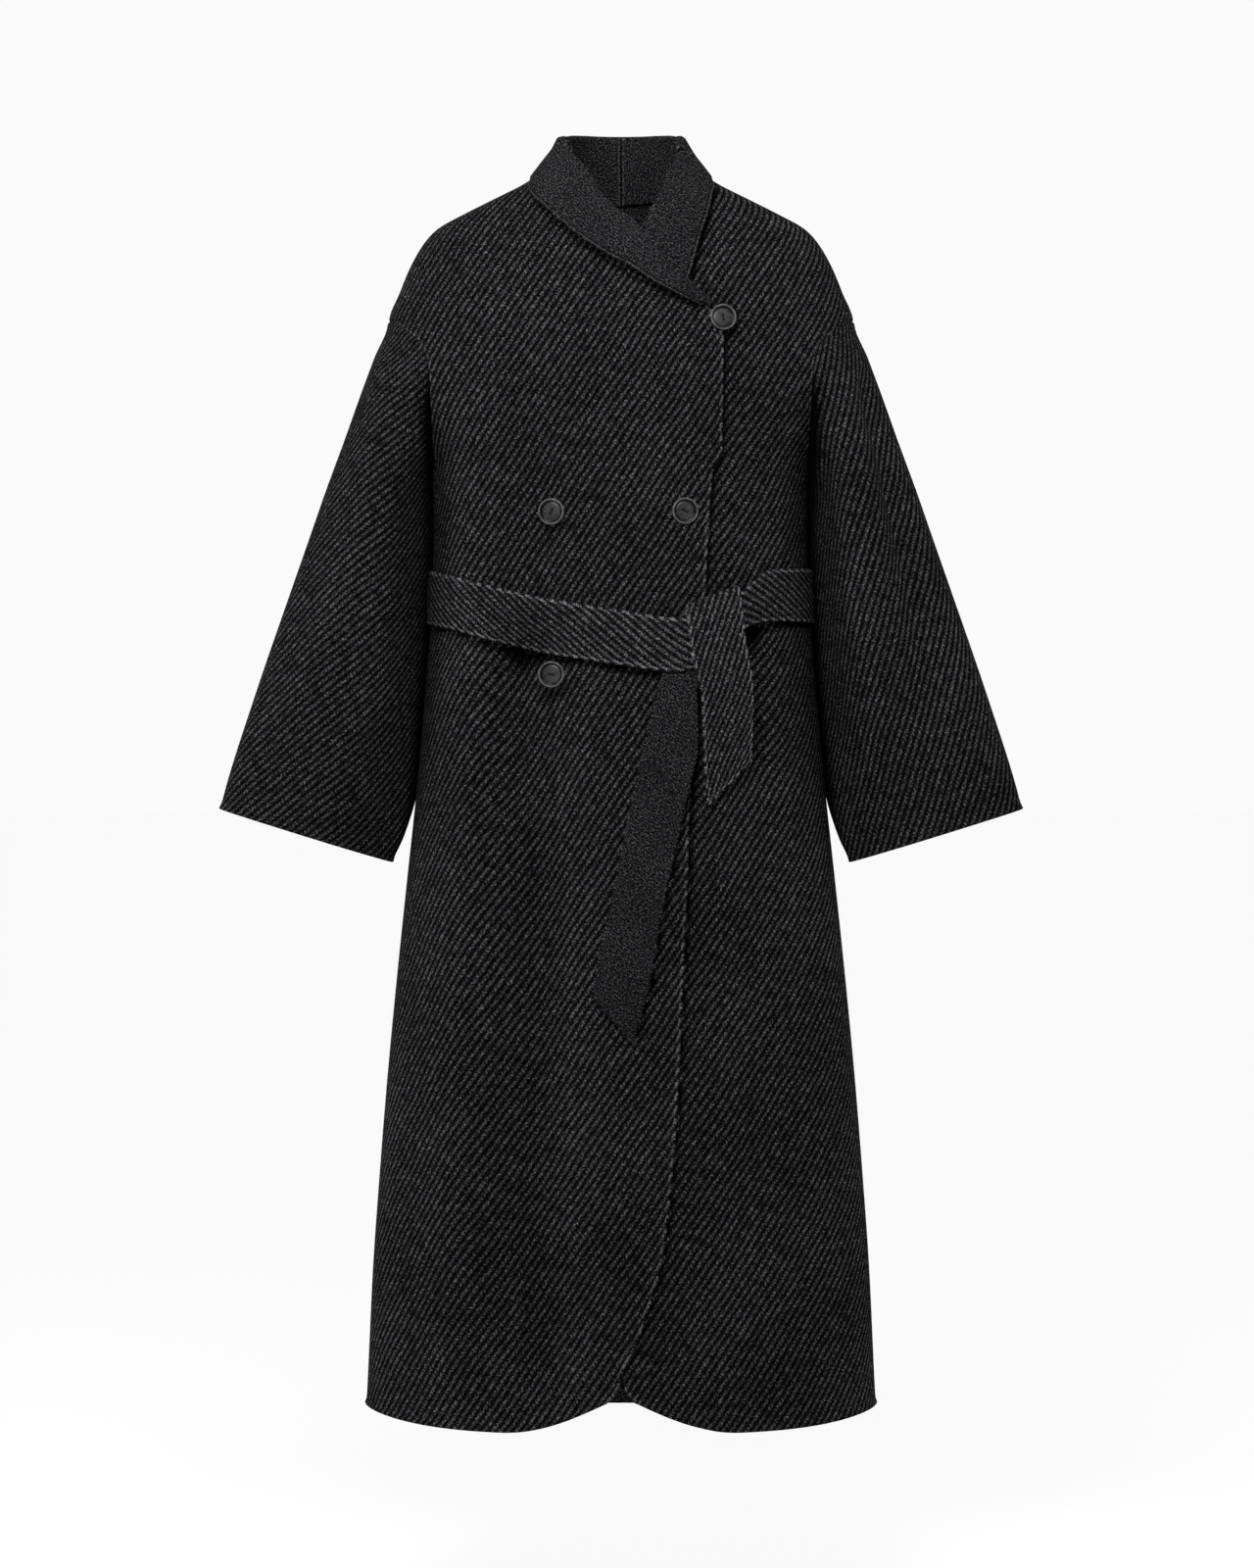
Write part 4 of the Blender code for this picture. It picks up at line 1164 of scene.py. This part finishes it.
def hanging_strip(name, table, finishes, steps, slant=0.0):
    """A strip of the belt that hangs on the front, between its two edges. A slant turns its weave."""
    rows = [(i / (len(table) - 1), *row) for i, row in enumerate(table)]
    at = np.linspace(0, 1, steps + 1)
    left_x, left_z, right_x, right_z, clear = (along(rows, i, at)[:, None] for i in range(1, 6))
    share = np.linspace(0, 1, BELT_ACROSS_STEPS + 1)[None]
    x = left_x + (right_x - left_x) * share
    z = left_z + (right_z - left_z) * share
    grid = on_body("front", x, z, clear + WALL / 2 + 0 * x)
    normals = -grid_normals(grid)
    outer = grid + normals * WALL / 2
    across = lengths(outer, 1)
    sideways = across - across[:, -1:] / 2
    upwards = -lengths(outer, 0)
    c, s = math.cos(slant), math.sin(slant)
    cloth = np.stack((c * sideways - s * upwards, s * sideways + c * upwards), axis=-1)
    from_end = lengths(outer[::-1], 0)[::-1]
    from_edge = np.minimum(np.minimum(across, across[:, -1:] - across), from_end)
    edges = edge_map(x.shape, FAR if slant else from_edge)
    cloth_piece(name, outer, normals, (cloth, edges), finishes, "hung", ["belt_right"])


def turned_points(profile, sides):
    """Points and faces of a solid turned round its axis from a profile that starts and ends on the axis."""
    turns = 2 * math.pi * np.arange(sides) / sides
    points = [(0.0, 0.0, profile[0][1])]
    for radius, height in profile[1:-1]:
        points += [(radius * math.cos(turn), radius * math.sin(turn), height) for turn in turns]
    points.append((0.0, 0.0, profile[-1][1]))
    rings = len(profile) - 2
    last = 1 + sides * (rings - 1)
    faces = []
    for j in range(sides):
        k = (j + 1) % sides
        faces.append((0, 1 + j, 1 + k))
        for ring in range(rings - 1):
            low = 1 + sides * ring
            faces.append((low + j, low + sides + j, low + sides + k, low + k))
        faces.append((len(points) - 1, last + k, last + j))
    return points, faces


def tube_points(path, radius, sides):
    """Points and faces of a round thread along a path in the plane y = 0, with flat ends."""
    path = np.array(path)
    course = unit(np.gradient(path, axis=0))
    across = np.array((0.0, 1.0, 0.0))
    points = []
    for place, way in zip(path, course):
        up = np.cross(way, across)
        for turn in 2 * math.pi * np.arange(sides) / sides:
            points.append(place + radius * (math.cos(turn) * across + math.sin(turn) * up))
    faces = [tuple(range(sides))]
    for i in range(len(path) - 1):
        for j in range(sides):
            k = (j + 1) % sides
            faces.append((i * sides + j, (i + 1) * sides + j, (i + 1) * sides + k, i * sides + k))
    faces.append(tuple(reversed(range((len(path) - 1) * sides, len(path) * sides))))
    return points, faces


def object_from(name, points, faces):
    mesh = bpy.data.meshes.new(name)
    mesh.from_pydata([tuple(point) for point in points], [], faces)
    return placed(name, mesh)


def button_body():
    """Mesh of a turned button with two holes right through it."""
    profile = [(r * BUTTON_RADIUS, h * BUTTON_THICKNESS) for r, h in BUTTON_PROFILE]
    piece = object_from("button_body", *turned_points(profile, BUTTON_SIDES))
    drills = []
    for side in (-1, 1):
        rod = [(0.0, 2 * BUTTON_THICKNESS), (HOLE_RADIUS, 2 * BUTTON_THICKNESS)]
        rod += [(HOLE_RADIUS, -BUTTON_THICKNESS), (0.0, -BUTTON_THICKNESS)]
        drill = object_from("drill", *turned_points(rod, HOLE_SIDES))
        drill.location = (side * HOLE_APART / 2, 0.0, 0.0)
        drills.append(drill)
        hole = piece.modifiers.new("hole", "BOOLEAN")
        hole.object = drill
        hole.operation = "DIFFERENCE"
        hole.solver = "EXACT"
    bpy.context.view_layer.update()
    depsgraph = bpy.context.evaluated_depsgraph_get()
    mesh = bpy.data.meshes.new_from_object(piece.evaluated_get(depsgraph))
    for item in (piece, *drills):
        bpy.data.objects.remove(item, do_unlink=True)
    return mesh


def stitch_path():
    """Middle line of a button's thread, up through one hole and down through the other."""
    floor = BUTTON_PROFILE[0][1] * BUTTON_THICKNESS
    reach = HOLE_APART / 2
    path = [(-reach, 0.0, THREAD_FOOT), (-reach, 0.0, floor)]
    path.append((-THREAD_BEND * reach, 0.0, floor + THREAD_RISE))
    top = (0.0, 0.0, floor + THREAD_CROWN * THREAD_RISE)
    return [*path, top, *((-x, y, z) for x, y, z in reversed(path))]


def button_seat(x, z, lift, hole_turn):
    """Place and turn of a button on the upper front."""
    foot = on_body("front", np.array(x), np.array(z), 0.0)
    normal = body_normal("front", foot)
    rise = BUTTON_CLEAR + lift + max(0.0, float(fold_height("front", np.array(x), np.array(z))))
    facing = Vector(normal).to_track_quat("Z", "Y").to_matrix().to_4x4()
    spin = Matrix.Rotation(math.radians(hole_turn), 4, "Z")
    return Matrix.Translation(foot + normal * rise) @ facing @ spin


def button(name, body, x, z, lift, hole_turn):
    """A button on the upper front, with its thread."""
    shape = bmesh.new()
    shape.from_mesh(body)
    for face in shape.faces:
        face.smooth = True
        face.material_index = 0
    points, faces = tube_points(stitch_path(), THREAD_RADIUS, THREAD_SIDES)
    corners = [shape.verts.new(point) for point in points]
    for face in faces:
        made = shape.faces.new([corners[i] for i in face])
        made.smooth = True
        made.material_index = 1
    mesh = bpy.data.meshes.new(name + "_turned")
    shape.to_mesh(mesh)
    shape.free()
    mesh.set_sharp_from_angle(angle=math.radians(BUTTON_SMOOTH_DEGREES))
    mesh.materials.append(horn())
    mesh.materials.append(thread())
    piece = placed(name + "_turned", mesh)
    piece.matrix_world = button_seat(x, z, lift, hole_turn)
    seat(piece, name)


def add_node(tree, kind, **settings):
    item = tree.nodes.new(kind)
    for key, value in settings.items():
        setattr(item, key, value)
    return item


class Value:
    """A value in a node tree. Sums and products of such values make the tree's Math nodes."""

    def __init__(self, tree, socket):
        self.tree = tree
        self.socket = socket

    def math(self, operation, *others):
        item = add_node(self.tree, "ShaderNodeMath", operation=operation)
        feed(item.inputs, (self, *others))
        return Value(self.tree, item.outputs[0])

    def __add__(self, other):
        return self.math("ADD", other)

    def __sub__(self, other):
        return self.math("SUBTRACT", other)

    def __mul__(self, other):
        return self.math("MULTIPLY", other)

    def scaled(self, factor, added):
        return self.math("MULTIPLY_ADD", factor, added)


def feed(sockets, values):
    """Sets sockets to numbers, or links them to values of the tree."""
    for socket, value in zip(sockets, values):
        if isinstance(value, Value):
            value.tree.links.new(value.socket, socket)
        else:
            socket.default_value = value


def point_of(x, y):
    item = add_node(x.tree, "ShaderNodeCombineXYZ")
    feed(item.inputs, (x, y))
    return Value(x.tree, item.outputs[0])


def parts_of(place):
    """The x and y of a place."""
    item = add_node(place.tree, "ShaderNodeSeparateXYZ")
    feed(item.inputs, (place,))
    return [Value(place.tree, item.outputs[label]) for label in "XY"]


def mesh_map(tree, label):
    """The two values of one of the mesh's maps."""
    source = add_node(tree, "ShaderNodeUVMap", uv_map=label)
    return parts_of(Value(tree, source.outputs["UV"]))


def own_place(tree, label="Object"):
    return Value(tree, add_node(tree, "ShaderNodeTexCoord").outputs[label])


def noise(place, scale, detail, roughness):
    item = add_node(place.tree, "ShaderNodeTexNoise", noise_dimensions="3D")
    sockets = [item.inputs[label] for label in ("Vector", "Scale", "Detail", "Roughness")]
    feed(sockets, (place, scale, detail, roughness))
    return Value(place.tree, item.outputs["Fac"])


def random_value(place):
    item = add_node(place.tree, "ShaderNodeTexWhiteNoise", noise_dimensions="3D")
    feed((item.inputs["Vector"],), (place,))
    return Value(place.tree, item.outputs["Value"])


def ramp(value, stops):
    """The colour at a value between the stops of a ramp."""
    item = add_node(value.tree, "ShaderNodeValToRGB")
    item.color_ramp.interpolation = "LINEAR"
    elements = item.color_ramp.elements
    while len(elements) < len(stops):
        elements.new(1.0)
    for element, (place, colour) in zip(elements, stops):
        element.position = place
        element.color = (*colour, 1.0)
    feed((item.inputs["Fac"],), (value,))
    return Value(value.tree, item.outputs["Color"])


def bump(height, distance):
    item = add_node(height.tree, "ShaderNodeBump")
    feed([item.inputs[label] for label in ("Height", "Distance", "Strength")], (height, distance, 1.0))
    return Value(height.tree, item.outputs["Normal"])


def wave(turn):
    """A smooth wave from one to nothing and back in a full turn."""
    return turn.math("COSINE").scaled(0.5, 0.5)


def near(value, middle, half):
    """One at a middle value, falling softly to nothing away from it."""
    away = value.scaled(1 / half, -middle / half)
    return (away.math("ABSOLUTE").math("POWER", 2.0) * -1.0).math("EXPONENT")


def lines(distances, table):
    """Narrow lines at given distances from a finished edge or from a seam."""
    total = None
    for kind, place, half in table:
        away = (distances[kind] - place).math("ABSOLUTE")
        line = away.scaled(-1 / (2 * half), 1.0).math("MAXIMUM", 0.0)
        total = line if total is None else total.math("MAXIMUM", line)
    return total


def new_material(name, roughness, specular, sheen):
    """A material with its tree and its shader."""
    material = bpy.data.materials.new(name)
    material.use_nodes = True
    tree = material.node_tree
    shader = tree.nodes["Principled BSDF"]
    shader.inputs["Roughness"].default_value = roughness
    shader.inputs["Specular IOR Level"].default_value = specular
    shader.inputs["Sheen Weight"].default_value = sheen
    return material, tree, shader


def tinted(colour, place):
    """The colour with a slight change of hue from yarn to yarn."""
    hue = ramp(noise(place, *HUE_NOISE), YARN_HUES)
    item = add_node(place.tree, "ShaderNodeMix", data_type="RGBA", blend_type="MULTIPLY")
    item.inputs["Factor"].default_value = 1.0
    feed([socket for socket in item.inputs if socket.type == "RGBA"], (colour, hue))
    return Value(place.tree, next(socket for socket in item.outputs if socket.type == "RGBA"))


def dress(shader, colour, relief=None):
    """Gives a shader its colour, and the bumps of its surface if it has any."""
    feed((shader.inputs["Base Color"],), (colour,))
    if relief:
        feed((shader.inputs["Normal"],), (relief,))


@cache
def wool_face(name="wool_face_cloth", painted_light=1.0):
    """Charcoal melange wool with thick diagonal ropes of flecked yarn."""
    material, tree, shader = new_material(name, *FACE_FINISH)
    u, v = mesh_map(tree, "Cloth")
    from_edge, from_cover = mesh_map(tree, "Edge")
    flat = point_of(u, v)
    labels = ("slow", "quick", "grain", "cloud", "patch")
    source = {label: noise(flat, *FACE_NOISES[label]) for label in labels}
    c, s = math.cos(WALE_ANGLE), math.sin(WALE_ANGLE)
    up = v.scaled(s / FLOAT_LENGTH, u * (c / FLOAT_LENGTH))
    over = v.scaled(-c / WALE_PITCH, u * (s / WALE_PITCH))
    over = source["slow"].scaled(SLOW_WANDER, over)
    over = source["quick"].scaled(QUICK_WANDER, over)
    wale = (over + 0.5).math("FLOOR")
    shift = random_value(point_of(wale, FLOAT_SEED))
    step = (over - wale).scaled(FLOAT_SLANT, up + shift)
    step = source["quick"].scaled(FLOAT_WANDER, step)
    shade_place = point_of(wale * SHADE_STEPS[0], up * SHADE_STEPS[1])
    source["shade"] = noise(shade_place, *FACE_NOISES["shade"])
    fibre_place = point_of(over * FIBRE_STEPS[0], step * FIBRE_STEPS[1])
    source["fibres"] = noise(fibre_place, *FACE_NOISES["fibres"])
    # The tone is darkest in the valleys between the ropes: partly the weave's own pattern, partly painted
    # shade in the valleys
    rope = wave(over * (2 * math.pi)).scaled(*FACE_CHANGES["rope"])
    body = rope * wave(step * (2 * math.pi)).scaled(*FACE_CHANGES["strand"])
    tone = body
    for label in ("shade", "fibres", "grain", "patch"):
        tone = tone * source[label].scaled(*FACE_CHANGES[label])
    # Painted shade close beside and under what lies over the cloth, and on a sleeve beside the body
    tone = tone * near(from_cover, 0.0, COVER_REACH).scaled(-PAINTED_COVER_SHADE, 1.0)
    # Painted highlight along finished edges
    tone = tone * near(from_edge, EDGE_HIGHLIGHT_AT, EDGE_HIGHLIGHT_HALF).scaled(EDGE_HIGHLIGHT, 1.0)
    tone = tone.math("MAXIMUM", 0.0) * source["cloud"].scaled(*FACE_CHANGES["cloud"])
    # Painted light: lighter tones for the belt's copy
    tones = [(at, [painted_light * part for part in colour]) for at, colour in FACE_TONES]
    relief = body.scaled(ROPE_RELIEF, source["fibres"] * FIBRE_RELIEF)
    dress(shader, tinted(ramp(tone, tones), flat), bump(relief, WALE_HEIGHT))
    return material


def lit_belt_face():
    """The same wool on the belt, where its weave lies across, made lighter: painted light for the belt
    catching more light.
    """
    return wool_face("wool_face_belt_painted_light", BELT_PAINTED_LIGHT)


@cache
def wool_reverse():
    """The cloth's smooth brushed reverse: faint fine ribs, and stitched lines by its edges with painted
    shade and highlights.
    """
    material, tree, shader = new_material("wool_reverse_cloth", *REVERSE_FINISH)
    u, v = mesh_map(tree, "Cloth")
    distances = dict(zip(("edge", "seam"), mesh_map(tree, "Edge")))
    flat = point_of(u, v)
    source = {label: noise(flat, *REVERSE_NOISES[label]) for label in ("fine", "cloud", "wobble")}
    streak = noise(point_of(u * STREAK_STEPS[0], v * STREAK_STEPS[1]), *REVERSE_NOISES["streak"])
    rib = wave(v.scaled(2 * math.pi / RIB_PITCH, source["wobble"] * RIB_WANDER))
    # Painted highlight on the lines beside the stitching and painted shade in its grooves
    source["ridge_highlight"] = lines(distances, HIGHLIGHT_LINES)
    source["groove"] = lines(distances, SUNK_LINES)
    tone = source["fine"].scaled(FINE_TONE, streak * STREAK_TONE)
    tone = rib.scaled(RIB_TONE, tone + REVERSE_START)
    for label, change in REVERSE_CHANGES.items():
        tone = tone * source[label].scaled(*change)
    relief = rib.scaled(RIB_RELIEF, source["fine"] * FINE_RELIEF)
    relief = source["groove"].scaled(GROOVE_RELIEF, relief)
    dress(shader, tinted(ramp(tone, REVERSE_TONES), flat), bump(relief, REVERSE_HEIGHT))
    return material


@cache
def horn():
    """Dark polished horn-like button with a grooved ring, painted shade in the groove and a painted
    highlight on the rim.
    """
    material, tree, shader = new_material("horn_polished", *HORN_FINISH)
    place = own_place(tree)
    x, y = parts_of(place)
    radius = y.scaled(y, x.math("POWER", 2.0)).math("SQRT")
    # Painted shade in the groove and painted highlight on the rim, as rings of the tone
    levels = [(at, [HORN_RING_MIDDLE + change] * 3) for at, change in PAINTED_BUTTON_RINGS]
    rings = ramp(radius.math("DIVIDE", BUTTON_RADIUS), levels)
    tone = noise(place, *HORN_NOISE) + (rings - HORN_RING_MIDDLE)
    dress(shader, ramp(tone, HORN_TONES))
    return material


@cache
def thread():
    """Dark sewing thread."""
    material, tree, shader = new_material("button_thread", *THREAD_FINISH)
    dress(shader, ramp(noise(own_place(tree), *THREAD_NOISE), THREAD_TONES))
    return material


def soft_range(value, source, result):
    """A value taken from one range to another along a soft curve."""
    item = add_node(value.tree, "ShaderNodeMapRange", interpolation_type="SMOOTHSTEP")
    labels = ("Value", "From Min", "From Max", "To Min", "To Max")
    feed([item.inputs[label] for label in labels], (value, *source, *result))
    return Value(value.tree, item.outputs["Result"])


def pale_floor():
    """A plain pale floor with a painted glow, brightest behind the coat."""
    material, tree, shader = new_material("pale_floor", *FLOOR_FINISH)
    shader.inputs["Base Color"].default_value = (FLOOR_TONE, FLOOR_TONE, FLOOR_TONE, 1.0)
    shader.inputs["Emission Color"].default_value = WHITE
    behind = parts_of(own_place(tree))[1]
    glow = soft_range(behind, (FLOOR_GLOW_FROM, FLOOR_GLOW_TO), (FLOOR_FRONT_GLOW, FLOOR_GLOW))
    feed((shader.inputs["Emission Strength"],), (glow,))
    signs = ((-1, -1), (1, -1), (1, 1), (-1, 1))
    corners = [(x * FLOOR_HALF, y * FLOOR_HALF, FLOOR_HEIGHT) for x, y in signs]
    floor = object_from("floor", corners, [(0, 1, 2, 3)])
    floor.data.materials.append(material)


def white_surrounding():
    """A white backdrop all round, less bright on the side that the coat faces."""
    world = bpy.data.worlds.new("studio")
    bpy.context.scene.world = world
    world.use_nodes = True
    background = world.node_tree.nodes["Background"]
    background.inputs["Color"].default_value = WHITE
    behind = parts_of(own_place(world.node_tree, "Generated"))[1]
    level = soft_range(behind, BACKDROP_EDGES, (FRONT_BRIGHTNESS, BACKDROP_BRIGHTNESS))
    feed((background.inputs["Strength"],), (level,))


def lamp(name, kind, place, aim, power, size):
    """A sun or a round soft light that is aimed at a point."""
    light = bpy.data.lights.new(name, kind)
    light.energy = power
    if kind == "SUN":
        light.angle = size
    else:
        light.shape = "DISK"
        light.size = size
    item = placed(name, light)
    item.location = place
    item.rotation_euler = (Vector(aim) - Vector(place)).to_track_quat("-Z", "Y").to_euler()


def studio_light():
    """Broad lights from both sides and a soft light over the chest."""
    white_surrounding()
    for row in LAMPS:
        lamp(*row)


def camera():
    lens = bpy.data.cameras.new("camera")
    lens.sensor_fit = "VERTICAL"
    lens.sensor_height = SENSOR
    lens.lens = SENSOR * -CAMERA_PLACE[1] / PICTURE_HEIGHT
    lens.clip_end = CLIP_END
    eye = placed("camera", lens)
    eye.location = CAMERA_PLACE
    eye.rotation_euler = (math.pi / 2, 0.0, 0.0)
    bpy.context.scene.camera = eye


back()
front(RIGHT, UPPER)
front(LEFT, LOWER)
sleeve("sleeve_right", RIGHT)
sleeve("sleeve_left", LEFT)
collar("collar_right", RIGHT, UPPER_WING, UPPER)
collar("collar_left", LEFT, LOWER_WING, LOWER)
belt()
hanging_strip("belt_knot", KNOT_TAIL, (lit_belt_face(), wool_reverse()), KNOT_STEPS)
hanging_strip("belt_tail", LONG_TAIL, (wool_reverse(), lit_belt_face()), TAIL_STEPS, TAIL_SLANT)
button_mesh = button_body()
for label, x, z, lift, hole_turn in BUTTONS:
    button(label, button_mesh, x, z, lift, hole_turn)
bpy.data.meshes.remove(button_mesh)
pale_floor()
studio_light()
camera()
bpy.context.scene.view_settings.view_transform = "Standard"

bpy.context.view_layer.update()
